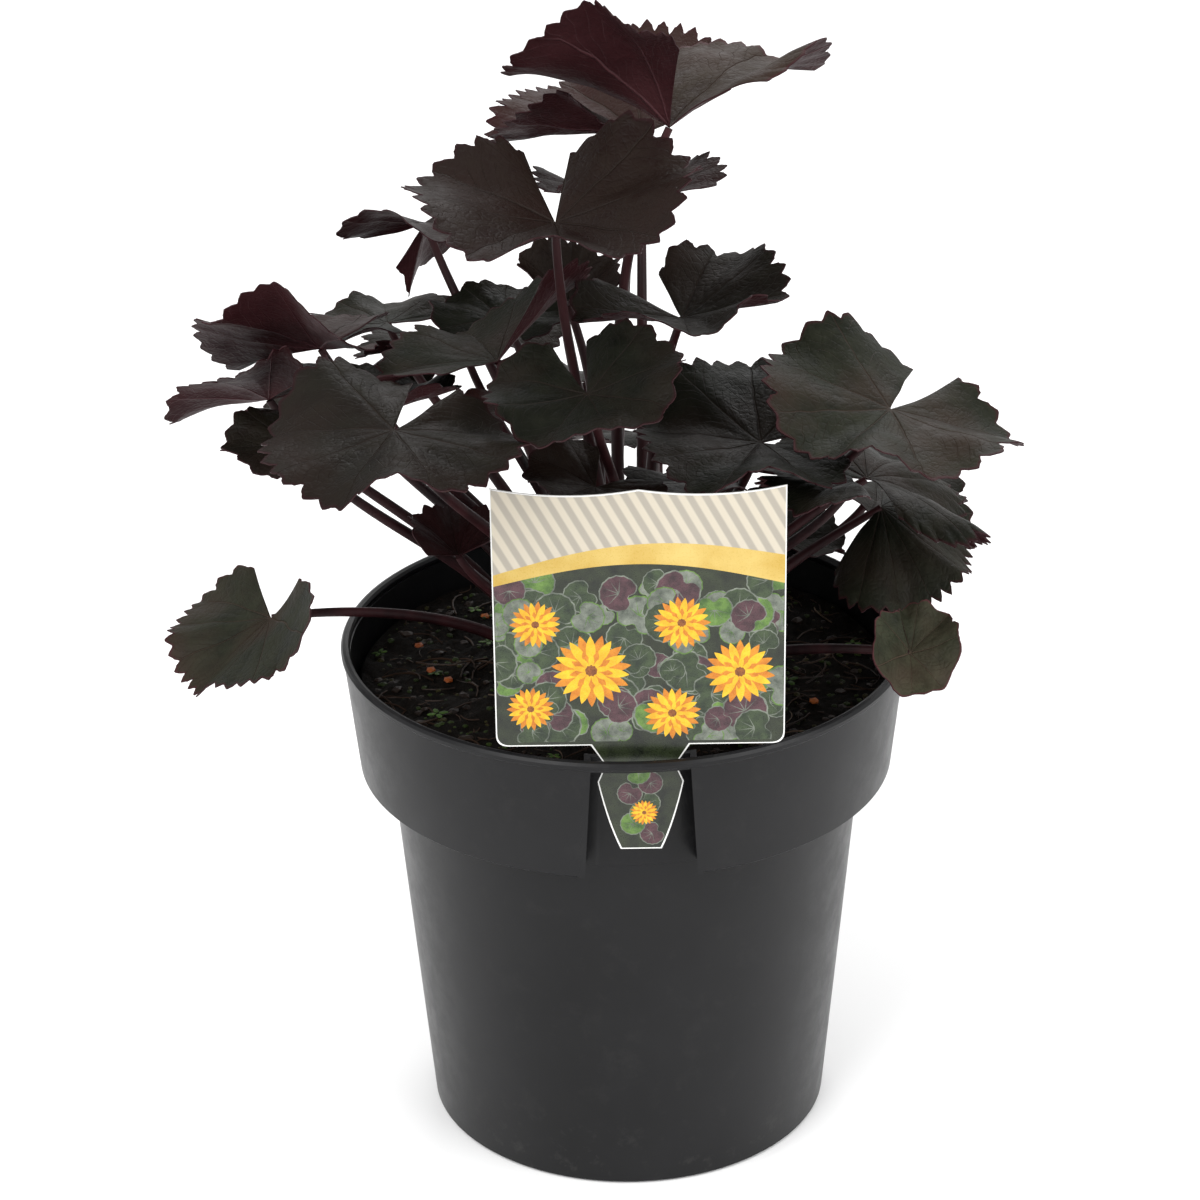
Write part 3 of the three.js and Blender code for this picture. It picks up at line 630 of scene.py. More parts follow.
def makeStalk(leaf, index):
    shape = leafShape
    joint, socket = Vector(leaf["joint"]), sockets[index]
    meet = math.radians(leaf.get("meet", shape["meet"]))
    outward = math.atan2(joint.y - socket.y, joint.x - socket.x)
    level = math.cos(meet)
    arrival = Vector((level * math.cos(outward), level * math.sin(outward), math.sin(meet)))
    bowX, bowY = leaf.get("bow", (0, 0))
    lift = shape["stalkUpright"] * (joint.z - socket.z) + shape["stalkLift"]
    lower = socket + Vector((bowX, bowY, lift))
    upper = joint - arrival * shape["stalkArrival"] * (joint - socket).length
    deselectAll()
    bpy.ops.curve.primitive_bezier_curve_add()
    stalk = bpy.context.object
    first, last = stalk.data.splines[0].bezier_points
    for point in (first, last):
        point.handle_left_type = point.handle_right_type = "FREE"
    first.co, first.handle_right = socket * mm, lower * mm
    first.handle_left = (2 * socket - lower) * mm
    last.co, last.handle_left = (joint - shape["stalkTuck"] * arrival) * mm, upper * mm
    last.handle_right = (2 * joint - upper) * mm
    first.radius, last.radius = shape["stalkBase"], shape["stalkTip"]
    stalk.data.resolution_u = shape["stalkSteps"]
    stalk.data.bevel_depth = 1 * mm
    stalk.data.bevel_resolution = shape["stalkSides"]
    stalk.data.use_fill_caps = True
    bpy.ops.object.convert(target="MESH")
    bpy.ops.object.shade_smooth()
    stalk.data.materials.clear()
    for skin in leafSkins:
        stalk.data.materials.append(skin)
    for polygon in stalk.data.polygons:
        polygon.material_index = leafSkins.index(stalkSkin)
    return stalk


def makeLeaf(leaf, index):
    blade = makeBlade(leaf, index)
    stalk = makeStalk(leaf, index)
    joinInto(blade, [stalk])
    number = index + 1
    blade.name = blade.data.name = "leafPiece%02d" % number
    smoothByAngle(blade, leafShape["smooth"])
    # each leaf carries its purple share and its share of painted light and sheen
    tints = {"purpleShare": purpleLeaves.get(number, 0.0), "paintedLightShare": paintedLightLeaves.get(number, 0.0)}
    for name, value in tints.items():
        share = blade.data.attributes.new(name, "FLOAT", "POINT")
        share.data.foreach_set("value", [value] * len(blade.data.vertices))
    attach(blade, "root")
    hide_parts("leaf_%02d" % (index + 1))
    return blade


for leafIndex, leafValues in enumerate(leaves):
    makeLeaf(leafValues, leafIndex)
print("leaves made:", len(leaves))


# nursery pot

potShape = {
    "rimRadius": 95, "rimHeight": 174, "lipHeight": 3.6, "lipDepth": 3.2,
    "collarBottom": 130, "collarTop": 94.2, "collarFoot": 90,
    "wallTop": 80, "baseRadius": 68.6, "wall": 2, "floor": 3, "relief": 2, "pad": 14, "foot": 8,
    "drains": 6, "drainRadius": 5, "drainCircle": 38, "drainSides": 32,
    "slotTop": 31, "slotBottom": 36, "slotX": 4,
    "steps": 180, "smooth": 32,
    "dark": colour(0.0050, 0.0050, 0.0055), "light": colour(0.0090, 0.0090, 0.0098),
    "dust": colour(0.050, 0.048, 0.045), "scuffScale": 90.0, "specular": 0.21,
}


def wallRadius(height):
    widening = (potShape["wallTop"] - potShape["baseRadius"]) * height / potShape["collarBottom"]
    return potShape["baseRadius"] + widening


def collarShare(height):
    return (height - potShape["collarBottom"]) / (potShape["rimHeight"] - potShape["collarBottom"])


def slotWedge(margin, low, high):
    # a block narrower at the top, through the collar's front
    def half(height):
        narrowing = (potShape["slotTop"] - potShape["slotBottom"]) * collarShare(height)
        return (potShape["slotBottom"] + narrowing) / 2 + margin

    slotX, rim = potShape["slotX"], potShape["rimRadius"]
    depth = rim / 2
    middle = (low + high) / 2 * mm
    deselectAll()
    bpy.ops.mesh.primitive_cube_add(size=1, location=(slotX * mm, -(rim * 0.6 + depth / 2) * mm, middle))
    wedge = bpy.context.object
    wedge.scale = (2 * half(low) * mm, depth * mm, (high - low) * mm)
    bpy.ops.object.transform_apply(location=True, rotation=True, scale=True)
    ratio = half(high) / half(low)
    for vertex in wedge.data.vertices:
        if vertex.co.z > middle:
            vertex.co.x = (vertex.co.x - slotX * mm) * ratio + slotX * mm
    return wedge


def makePotPlastic():
    material, tree, shader = startMaterial("potCharcoalPlastic")
    point = objectPoint(tree)
    skin = placeMottle(tree, point, 14.0, 1500.0)
    base = shadeBetween(tree, skin["Patch"], 0.3, 0.7, potShape["dark"], potShape["light"])
    # dust in scuffs, most of it near the foot
    height = tree.nodes.new("ShaderNodeSeparateXYZ")
    tree.links.new(point, height.inputs[0])
    scuff = noiseNode(tree, point, potShape["scuffScale"], 6.0, 0.75)
    low = mathNode(tree, "ADD", rangeNode(tree, height.outputs[2], 0.03, 0.0, 0.0, 0.5), 0.12)
    dusty = mathNode(tree, "MULTIPLY", rangeNode(tree, scuff, 0.55, 0.75), low)
    feed(tree, shader.inputs["Base Color"], mixNode(tree, dusty, base, potShape["dust"]))
    feed(tree, shader.inputs["Roughness"], rangeNode(tree, scuff, 0.35, 0.7, 0.30, 0.42))
    shader.inputs["Specular IOR Level"].default_value = potShape["specular"]
    feed(tree, shader.inputs["Normal"], bumpNode(tree, skin["Grain"], 0.12, 0.15 * mm))
    return material


def lipRoll(outer, inner, top):
    # the lip's section, a rounded roll, without the part that the collar meets
    halfDepth, halfHeight = potShape["lipDepth"] / 2, potShape["lipHeight"] / 2
    middleX, middleZ = (outer + inner) / 2, top - halfHeight
    roll = []
    for i in range(9):
        angle = math.radians(-60 + 300 * i / 8)
        roll.append((middleX + halfDepth * math.cos(angle), middleZ + halfHeight * math.sin(angle)))
    return [point for point in roll if point[1] > top - potShape["lipHeight"] + 0.05]


def potProfile():
    shape = potShape
    rim, top, foot, wall = shape["rimRadius"], shape["rimHeight"], shape["collarBottom"], shape["wall"]
    lipFoot, lipInner = top - shape["lipHeight"], rim - shape["lipDepth"]
    base, relief, heel = shape["baseRadius"], shape["relief"], shape["baseRadius"] - shape["foot"]
    floorTop = shape["floor"] + relief
    outside = [
        (0, 0), (shape["pad"], 0), (shape["pad"] + relief, relief), (heel - relief, relief),
        (heel, 0), (base - 1, 0), (base - 0.1, 0.8),
        (shape["wallTop"] - 0.3, foot - 0.6), (shape["wallTop"] + 0.6, foot + 0.1),
        (shape["collarFoot"] - 0.8, foot), (shape["collarFoot"], foot + 0.7), (shape["collarTop"], lipFoot),
    ]
    ledge = foot + wall
    inside = [
        (lipInner, lipFoot), (shape["collarFoot"] - wall, ledge), (shape["wallTop"] - wall, ledge),
        (wallRadius(floorTop) - wall, floorTop), (0, floorTop),
    ]
    return outside + lipRoll(rim, lipInner, top) + inside


def turnBlock(name, low, high, inset):
    # a solid cone that follows the pot's wall, used to cut with
    lowRadius, highRadius = wallRadius(low) - inset, wallRadius(high) - inset
    return turnProfile(name, [(0, low), (lowRadius, low), (highRadius, high), (0, high)], potShape["steps"])


def makePot():
    shape = potShape
    top, foot, wall = shape["rimHeight"], shape["collarBottom"], shape["wall"]
    lipFoot = top - shape["lipHeight"]
    pot = turnProfile("nurseryPot", potProfile(), shape["steps"])
    core = turnBlock("core", foot - 1, top + 1, 0)
    inside = turnBlock("inside", foot - 2, top + 2, wall)
    collar = [(0, foot), (shape["collarFoot"], foot), (shape["collarTop"] - 0.02, lipFoot), (0, lipFoot)]
    envelope = turnProfile("envelope", collar, shape["steps"])
    window = slotWedge(0, foot - 1, lipFoot)
    cut(window, core, "DIFFERENCE")
    pocket = slotWedge(wall, foot, lipFoot)
    cut(pocket, envelope, "INTERSECT")
    cut(pocket, inside, "DIFFERENCE")
    cut(pot, pocket, "UNION")
    cut(pot, window, "DIFFERENCE")
    deselectAll()
    bpy.ops.mesh.primitive_cylinder_add(vertices=shape["drainSides"], radius=shape["drainRadius"] * mm,
                                        depth=4 * shape["floor"] * mm)
    drill = bpy.context.object
    for i in range(shape["drains"]):
        angle = 2 * math.pi * i / shape["drains"]
        x, y = shape["drainCircle"] * math.cos(angle), shape["drainCircle"] * math.sin(angle)
        drill.location = (x * mm, y * mm, shape["floor"] * mm)
        bpy.context.view_layer.update()
        cut(pot, drill, "DIFFERENCE")
    for tool in (core, inside, envelope, window, pocket, drill):
        removeTool(tool)
    finishPiece(pot, shape["smooth"], makePotPlastic())
    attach(pot, "root")
    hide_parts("pot")
    return pot


makePot()
print("pot made")


# compost

soilShape = {
    "top": 160, "gap": 0.5, "lump": 1.2, "clod": 2.2, "crumb": 0.9, "clodScale": 0.16, "crumbScale": 0.55,
    "steps": 280, "ringStep": 1.4, "crownRadius": 35, "crownDepth": 18, "smooth": 60,
    "coreLow": 100, "coreHigh": 190,
    "dark": colour(0.0022, 0.0018, 0.0014), "light": colour(0.0105, 0.0072, 0.0048),
    "fibre": colour(0.024, 0.014, 0.009),
}


def soilHeight(x, y):
    lump = 0.5 * math.sin(x * 0.21 + 1.3) * math.cos(y * 0.17) + 0.5 * math.sin(x * 0.09 - y * 0.13 + 0.7)
    clod = noise.noise(Vector((x, y, 3.0)) * soilShape["clodScale"])
    crumb = noise.noise(Vector((x, y, 8.0)) * soilShape["crumbScale"])
    shape = soilShape
    return shape["top"] + shape["lump"] * lump + shape["clod"] * clod + shape["crumb"] * crumb


def makeSoilFinish():
    material, tree, shader = startMaterial("dampCompost")
    point = objectPoint(tree)
    skin = placeMottle(tree, point, 60.0, 420.0)
    fine = noiseNode(tree, point, 900.0, 6.0, 0.8)
    base = shadeBetween(tree, fine, 0.4, 0.7, soilShape["dark"], soilShape["light"])
    base = mixNode(tree, rangeNode(tree, skin["Grain"], 0.60, 0.72, 0.0, 0.7), base, soilShape["fibre"])
    feed(tree, shader.inputs["Base Color"], base)
    feed(tree, shader.inputs["Roughness"], rangeNode(tree, skin["Patch"], 0.3, 0.7, 0.7, 0.95))
    shader.inputs["Specular IOR Level"].default_value = 0.1
    rough = mathNode(tree, "ADD", mathNode(tree, "MULTIPLY", skin["Pits"], 0.6), fine)
    feed(tree, shader.inputs["Normal"], bumpNode(tree, rough, 0.9, 1.2 * mm))
    return material


def soilProfile(edge, inside, floorTop, foot, slack):
    # up the wall, round the pocket for the label, and in over the top in rings to the crown's hollow
    top, inner = soilShape["top"], soilShape["crownRadius"] + 1
    hollow = top - soilShape["crownDepth"]
    profile = [(0, floorTop), (wallRadius(floorTop) - slack, floorTop), (wallRadius(foot) - slack, foot),
               (inside(foot), foot), (inside(top - 5), top - 5), (edge, top - 1.5)]
    radius = edge - 1.2
    while radius > inner:
        profile.append((radius, top))
        radius -= soilShape["ringStep"]
    return profile + [(inner, top), (inner, top - 4), (inner - 4, hollow), (0, hollow)]


def makeSoil():
    shape = soilShape
    top, gap, wall = shape["top"], shape["gap"], potShape["wall"]
    foot = potShape["collarBottom"] + wall + gap
    floorTop = potShape["floor"] + potShape["relief"] + gap

    def collarInside(height):
        widening = (potShape["collarTop"] - potShape["collarFoot"]) * collarShare(height)
        return potShape["collarFoot"] + widening - wall - 2 * gap

    edge = collarInside(top) - 0.4
    profile = soilProfile(edge, collarInside, floorTop, foot, wall + gap)
    soil = turnProfile("compost", profile, shape["steps"])
    for vertex in soil.data.vertices:
        if vertex.co.z > (top - 0.6) * mm:
            x, y = vertex.co.x / mm, vertex.co.y / mm
            fade = min(1.0, max(0.25, (edge - math.hypot(x, y)) / 4))
            vertex.co.z = (top + (soilHeight(x, y) - top) * fade) * mm
    core = turnBlock("core", shape["coreLow"], shape["coreHigh"], wall + gap)
    behind = slotWedge(wall + gap, potShape["collarBottom"] - gap, potShape["rimHeight"])
    cut(behind, core, "DIFFERENCE")
    cut(soil, behind, "DIFFERENCE")
    removeTool(core)
    removeTool(behind)
    finishPiece(soil, shape["smooth"], makeSoilFinish())
    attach(soil, "root")
    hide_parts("soil")
    return soil


makeSoil()
print("compost made")


# crown

def makeCrownFinish():
    material, tree, shader = startMaterial("crownFibres")
    skin = placeMottle(tree, objectPoint(tree), 90.0, 800.0)
    base = shadeBetween(tree, skin["Patch"], 0.3, 0.7, crownShape["dark"], crownShape["light"])
    feed(tree, shader.inputs["Base Color"], base)
    feed(tree, shader.inputs["Roughness"], rangeNode(tree, skin["Grain"], 0.3, 0.7, 0.6, 0.9))
    feed(tree, shader.inputs["Normal"], bumpNode(tree, skin["Grain"], 0.7, 0.8 * mm))
    return material


def makeSheath(socket, height):
    shape = crownShape
    deselectAll()
    bpy.ops.mesh.primitive_cone_add(vertices=shape["sheathSides"], radius1=shape["sheathFoot"] * mm,
                                    radius2=shape["sheathTop"] * mm, depth=shape["sheathHeight"] * mm,
                                    location=Vector((socket.x, socket.y, height)) * mm)
    sheath = bpy.context.object
    bpy.ops.object.transform_apply(location=True, rotation=True, scale=True)
    return sheath


def makeCrown():
    # a lumpy mound with a short sheath round the foot of every stalk
    shape = crownShape
    top, rise, radius = shape["soilTop"], shape["crownRise"], soilShape["crownRadius"]
    low, outer, rounds = top - shape["depth"], radius - shape["clear"], shape["rounds"]
    profile = [(0, low), (radius * 0.8, low), (outer, top - shape["collar"]), (outer, top)]
    for i in range(1, rounds):
        share = i / rounds
        profile.append((outer * (1 - share), top + 1 + rise * math.sin(share * math.pi / 2) * 0.8))
    profile.append((0, top + 1 + rise * 0.8))
    crown = turnProfile("rootCrown", profile, shape["steps"])
    for vertex in crown.data.vertices:
        if vertex.co.z > (top + 0.5) * mm:
            vertex.co.z += shape["lumps"] * mm * noise.noise(vertex.co * 160)
    sheaths = [makeSheath(sockets[index], top + rise + 2) for index in range(len(leaves))]
    joinInto(crown, sheaths)
    finishPiece(crown, shape["smooth"], makeCrownFinish())
    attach(crown, "root")
    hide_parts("crown")
    return crown


makeCrown()
print("crown made")


# plant label

labelShape = {
    "x": 4, "y": -87.5, "thickness": 0.8, "width": 90, "bottom": 177, "top": 264.5, "peak": 263.5,
    "dip": 2.4, "corner": 4, "neckWidth": 31, "neckRimWidth": 22, "neckRimHeight": 170,
    "tailWidth": 27, "tailShoulder": 164, "tailTipWidth": 13, "tailTip": 140,
    "whiteDark": colour(0.70, 0.70, 0.68), "white": colour(0.78, 0.78, 0.76), "roughness": 0.3,
}

# a layer's face and back lie so far behind the foremost print, mm; each spot is x, height and size
printShape = {
    "layers": {"field": (0.1, 0.13), "leaf": (0.098, 0.12), "band": (0.036, 0.08),
               "ribbon": (0.031, 0.06), "petal": (0.026, 0.05), "eye": (0.001, 0.05)},
    "plasticFace": 0.12, "border": 0.4, "fieldTop": 232,
    "ribbonRise": 7, "ribbonWidth": 9.5, "ribbonSteps": 24,
    "leaves": 120, "leafSizes": (3.6, 7.6), "leafStep": 0.0005, "bladeStep": 0.0002, "rimShare": 0.93,
    "tailLeaves": 7, "tailLeafSize": 4.2, "tailSwing": 3.5, "tailLow": 145.5, "tailSpacing": 3.6,
    "spots": ((-32, 219, 8.0), (-15, 203, 12.5), (13, 219, 9.0), (31, 202, 11.0), (-34, 190, 7.5),
              (10, 188, 9.0), (1, 153, 4.5)),
    "petalStep": 0.006, "eyeShare": 0.15, "stripeSlant": 0.55, "stripes": 1300.0, "paperRoughness": 0.3,
    "paper": colour(0.50, 0.45, 0.36), "paperShade": colour(0.33, 0.30, 0.25),
    # the gold ink's paler patches are a painted highlight and sheen on the ribbon
    "gold": colour(0.42, 0.25, 0.02), "goldPaintedHighlight": colour(0.60, 0.45, 0.14),
    "fieldDark": colour(0.004, 0.006, 0.003), "fieldLight": colour(0.022, 0.030, 0.012),
}


def bendPoints(start, control, end, count):
    points = []
    for i in range(1, count + 1):
        t = i / count
        bend = [(1 - t) ** 2 * s + 2 * t * (1 - t) * c + t * t * e for s, c, e in zip(start, control, end)]
        points.append(tuple(bend))
    return points


def labelOutline(inset):
    shape = labelShape
    half, corner = shape["width"] / 2 - inset, shape["corner"]
    low, high, peak = shape["bottom"] + inset, shape["top"] - inset, shape["peak"] - inset
    neck, rim = shape["neckWidth"] / 2 - inset, shape["neckRimWidth"] / 2 - inset
    shoulder, tip = shape["tailWidth"] / 2 - inset, shape["tailTip"] + inset
    right = [(half - corner, low)]
    right += bendPoints((half - corner, low), (half, low), (half, low + corner), 8)
    right.append((half, high))
    right += bendPoints((half, high), (half / 2, high - 2 * shape["dip"]), (0, peak), 18)
    left = [(-x, z) for x, z in reversed(right[:-1])]
    tail = [(-neck, low), (-rim, shape["neckRimHeight"]), (-shoulder, shape["tailShoulder"])]
    tail += bendPoints(tail[-1], (3 - shoulder, tip + 9), (inset - shape["tailTipWidth"] / 2, tip), 8)
    return right + left + tail + [(-x, z) for x, z in reversed(tail)]


def platePiece(name, outline, low, high, material):
    # a flat closed plate standing in the label's plane, from an outline in x and z, mm
    deselectAll()
    curve = bpy.data.curves.new(name, "CURVE")
    curve.dimensions = "2D"
    curve.fill_mode = "BOTH"
    spline = curve.splines.new("POLY")
    spline.points.add(len(outline) - 1)
    for point, (x, z) in zip(spline.points, outline):
        point.co = (x * mm, z * mm, 0, 1)
    spline.use_cyclic_u = True
    curve.extrude = (high - low) / 2 * mm
    piece = bpy.data.objects.new(name, curve)
    bpy.context.scene.collection.objects.link(piece)
    makeActive(piece)
    bpy.ops.object.convert(target="MESH")
    for vertex in piece.data.vertices:
        x, z, depth = vertex.co
        vertex.co = Vector((x + labelShape["x"] * mm, -depth + (low + high) / 2 * mm, z))
    piece.data.materials.append(material)
    return piece


def closeSeams(piece):
    makeActive(piece)
    bpy.ops.object.mode_set(mode="EDIT")
    bpy.ops.mesh.select_all(action="SELECT")
    bpy.ops.mesh.remove_doubles(threshold=0.0001 * mm)
    bpy.ops.mesh.normals_make_consistent(inside=False)
    bpy.ops.object.mode_set(mode="OBJECT")


def makePrintInk(name, dark, light, scale, roughness=0.28):
    material, tree, shader = startMaterial(name)
    skin = placeMottle(tree, objectPoint(tree), scale, 1400.0)
    base = shadeBetween(tree, skin["Patch"], 0.32, 0.68, dark, light)
    feed(tree, shader.inputs["Base Color"], base)
    sheen = rangeNode(tree, skin["Grain"], 0.3, 0.7, roughness - 0.04, roughness + 0.06)
    feed(tree, shader.inputs["Roughness"], sheen)
    return material


def makePaper():
    # pale slanting stripes on a beige ground
    material, tree, shader = startMaterial("printStripedPaper")
    parts = tree.nodes.new("ShaderNodeSeparateXYZ")
    tree.links.new(objectPoint(tree), parts.inputs[0])
    slant = mathNode(tree, "MULTIPLY_ADD", parts.outputs[2], printShape["stripeSlant"], parts.outputs[0])
    stripe = mathNode(tree, "SINE", mathNode(tree, "MULTIPLY", slant, printShape["stripes"]))
    share = rangeNode(tree, stripe, -0.5, 0.5, 0.0, 1.0, True)
    base = mixNode(tree, share, printShape["paperShade"], printShape["paper"])
    feed(tree, shader.inputs["Base Color"], base)
    shader.inputs["Roughness"].default_value = printShape["paperRoughness"]
    return material


def makeLeafInks():
    tones = {
        "printLeafDark": (colour(0.008, 0.016, 0.007), colour(0.040, 0.062, 0.024)),
        "printLeafPlum": (colour(0.024, 0.009, 0.012), colour(0.085, 0.034, 0.042)),
        "printLeafSilver": (colour(0.050, 0.060, 0.046), colour(0.19, 0.21, 0.17)),
        "printLeafFresh": (colour(0.030, 0.075, 0.012), colour(0.12, 0.22, 0.04)),
    }
    return [makePrintInk(name, dark, light, 240.0) for name, (dark, light) in tones.items()]


def ringOfPoints(x, z, turn, count, radiusAt):
    ring = []
    for i in range(count):
        a = 2 * math.pi * i / count
        ring.append((x + radiusAt(a) * math.cos(a + turn), z + radiusAt(a) * math.sin(a + turn)))
    return ring


def heartReach(a):
    return 1 - 0.5 * max(0.0, math.cos(a)) ** 10 - 0.05 * abs(math.sin(a * 7.5))


def veinStar(x, z, turn, size):
    # five pointed rays that meet at the leaf's middle
    star = []
    for vein in range(-2, 3):
        a = turn + math.pi + vein * 0.62
        for share, aside in ((0.08, -0.3), (0.8, 0.0), (0.08, 0.3)):
            star.append((x + share * size * math.cos(a + aside), z + share * size * math.sin(a + aside)))
    return star


def printLeaves(inks, front, half):
    # heart-shaped leaves over the dark field, each a pale rim, a darker blade and its veins
    shape = printShape
    draw = random.Random(23)
    low, high = labelShape["bottom"] + 1.4, shape["fieldTop"] + 2
    face, back = shape["layers"]["leaf"]
    pieces = []
    for number in range(shape["leaves"]):
        size, x = draw.uniform(*shape["leafSizes"]), draw.uniform(-half, half)
        lowest = low if abs(x) < half - 7 else low + 9
        z, turn = draw.uniform(lowest, high), draw.uniform(0, 2 * math.pi)
        ink = draw.choice((0, 0, 0, 1, 1, 2, 2, 3))
        rimInk = inks[2] if ink != 2 else inks[3]
        foot = low
        if number < shape["tailLeaves"]:
            foot = labelShape["tailTip"]
            size, x = shape["tailLeafSize"], shape["tailSwing"] * math.cos(number * 2.4)
            z = shape["tailLow"] + shape["tailSpacing"] * number
        outer = ringOfPoints(x, z, turn, 48, lambda a: size * heartReach(a))
        inner = ringOfPoints(x, z, turn, 48, lambda a: size * shape["rimShare"] * heartReach(a))
        depth = front + face - shape["leafStep"] * number
        prints = (("printLeafRim", outer, rimInk), ("printLeaf", inner, inks[ink]),
                  ("printVein", veinStar(x, z, turn, size), rimInk))
        for step, (name, ring, tone) in enumerate(prints):
            kept = [(min(half - 0.2, max(0.2 - half, px)), max(foot, pz)) for px, pz in ring]
            pieces.append(platePiece(name, kept, depth - shape["bladeStep"] * step, front + back, tone))
    return pieces


def petalReach(a, count):
    off = abs(a * count / (2 * math.pi) % 1 - 0.5) * 2
    return 0.3 + 0.7 * (1 - off) ** 0.6


def printFlowers(front):
    # full rosettes of pointed petals in four nested rings, with a dark eye
    amber = makePrintInk("printPetal", colour(0.60, 0.30, 0.004), colour(0.72, 0.46, 0.012), 300.0)
    orange = makePrintInk("printPetalBack", colour(0.42, 0.12, 0.004), colour(0.58, 0.22, 0.008), 300.0)
    rust = makePrintInk("printPetalEye", colour(0.10, 0.025, 0.004), colour(0.26, 0.08, 0.01), 700.0)
    rings = ((orange, 1.0, 11), (amber, 0.95, 11), (orange, 0.55, 9), (amber, 0.47, 9))
    face, back = printShape["layers"]["petal"]
    eyeFace, eyeBack = printShape["layers"]["eye"]
    pieces = []
    for flower, (x, z, size) in enumerate(printShape["spots"]):
        for ring, (ink, length, count) in enumerate(rings):
            turn, reach = ring * 0.3 + flower, size * length
            outline = ringOfPoints(x, z, turn, count * 14, lambda a: reach * petalReach(a, count))
            depth = front + face - printShape["petalStep"] * ring
            pieces.append(platePiece("printPetals", outline, depth, front + back, ink))
        eyeSize = printShape["eyeShare"] * size
        eye = ringOfPoints(x, z, 0, 20, lambda a: eyeSize * (1 + 0.12 * math.sin(a * 9)))
        pieces.append(platePiece("printEye", eye, front + eyeFace, front + eyeBack, rust))
    return pieces


def makeLabelPrint(front):
    # a generic design: dark leaves and amber flowers under a gold ribbon and a striped band
    shape = printShape
    field = makePrintInk("printLeafField", shape["fieldDark"], shape["fieldLight"], 160.0)
    paper = makePaper()
    # the ribbon's gold ink mixes broad patches of painted highlight and sheen into the gold
    gold = makePrintInk("printGoldPaintedSheen", shape["gold"], shape["goldPaintedHighlight"], 34.0)
    edges = {name: (front + face, front + back) for name, (face, back) in shape["layers"].items()}
    outline = labelOutline(shape["border"])
    top, half, steps = shape["fieldTop"], labelShape["width"] / 2 - shape["border"], shape["ribbonSteps"]
    pieces = [platePiece("printField", outline, *edges["field"], field)]
    pieces += printLeaves(makeLeafInks(), front, half)
    arch = []
    for i in range(steps + 1):
        rise = shape["ribbonRise"] * math.sin(math.pi * i / steps)
        arch.append((-half + 2 * half * i / steps, top + rise))
    crest = [point for point in outline if point[1] > top + shape["ribbonWidth"]]
    pieces.append(platePiece("printBand", arch + crest, *edges["band"], paper))
    ribbon = arch + [(x, z + shape["ribbonWidth"] * (0.7 + 0.3 * x / half)) for x, z in reversed(arch)]
    pieces.append(platePiece("printRibbon", ribbon, *edges["ribbon"], gold))
    pieces += printFlowers(front)
    printed = joinInto(pieces[0], pieces[1:])
    closeSeams(printed)
    printed.name = printed.data.name = "labelPrint"
    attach(printed, "root")
    return printed


def makeLabel():
    shape = labelShape
    front, back = shape["y"] - shape["thickness"] / 2, shape["y"] + shape["thickness"] / 2
    white = makePrintInk("labelWhitePlastic", shape["whiteDark"], shape["white"], 30.0, shape["roughness"])
    label = platePiece("plantLabel", labelOutline(0), front + printShape["plasticFace"], back, white)
    closeSeams(label)
    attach(label, "root")
    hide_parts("label")
    makeLabelPrint(front)
    return label


makeLabel()
print("label made")


# what lies on the compost

litterShape = {
    "moss": 520, "fibres": 190, "paleRoots": 0.12, "grit": 260, "seedlings": 22, "leaflets": 4,
    "inner": 37, "outer": 86, "slotHalf": 22, "slotFront": -72, "lean": 0.25, "wildLean": 0.8,
    "prills": ((-65, -2), (-59, -8), (-70, 20), (62, -30), (-48, 44)), "prillSize": 1.15,
}


def templateBall(radius, squash):
    deselectAll()
    bpy.ops.mesh.primitive_ico_sphere_add(subdivisions=1, radius=radius * mm)
    ball = bpy.context.object
    for vertex in ball.data.vertices:
        vertex.co.z *= squash
        vertex.co *= 1 + 0.25 * noise.noise(vertex.co * 900)
    mesh = ball.data
    bpy.data.objects.remove(ball)
    return mesh


def templateStrand(length, radius, bend):
    # a thin rod cut in four along its length, then bowed
    deselectAll()
    bpy.ops.mesh.primitive_cylinder_add(vertices=5, radius=radius * mm, depth=length * mm,
                                        rotation=(0, math.pi / 2, 0))
    strand = bpy.context.object
    bpy.ops.object.transform_apply(location=True, rotation=True, scale=True)
    bpy.ops.object.mode_set(mode="EDIT")
    for share in (0, 0.25, -0.25):
        bpy.ops.mesh.select_all(action="SELECT")
        bpy.ops.mesh.bisect(plane_co=(length * share * mm, 0, 0), plane_no=(1, 0, 0))
    bpy.ops.object.mode_set(mode="OBJECT")
    for vertex in strand.data.vertices:
        share = vertex.co.x / (length * mm / 2)
        vertex.co.y += bend * mm * (1 - share * share)
        vertex.co.z += 0.35 * bend * mm * (1 - share * share)
    mesh = strand.data
    bpy.data.objects.remove(strand)
    return mesh


def placeOnSoil(draw, sink, scaleLow, scaleHigh, lean=litterShape["lean"]):
    shape = litterShape
    while True:
        angle = draw.uniform(0, 2 * math.pi)
        radius = math.sqrt(draw.uniform(shape["inner"] ** 2, shape["outer"] ** 2))
        x, y = radius * math.cos(angle), radius * math.sin(angle)
        if not (abs(x - potShape["slotX"]) < shape["slotHalf"] and y < shape["slotFront"]):
            break
    size = draw.uniform(scaleLow, scaleHigh)
    tilt = Matrix.Rotation(draw.uniform(-lean, lean), 4, "X")
    turn = Matrix.Rotation(draw.uniform(0, 2 * math.pi), 4, "Z")
    spot = Matrix.Translation(Vector((x, y, soilHeight(x, y) - sink)) * mm)
    return spot @ turn @ tilt @ Matrix.Scale(size, 4)


def placePrills():
    places = []
    for x, y in litterShape["prills"]:
        spot = Matrix.Translation(Vector((x, y, soilHeight(x, y) + 0.7)) * mm)
        places.append((spot @ Matrix.Scale(litterShape["prillSize"], 4), 1))
    return places


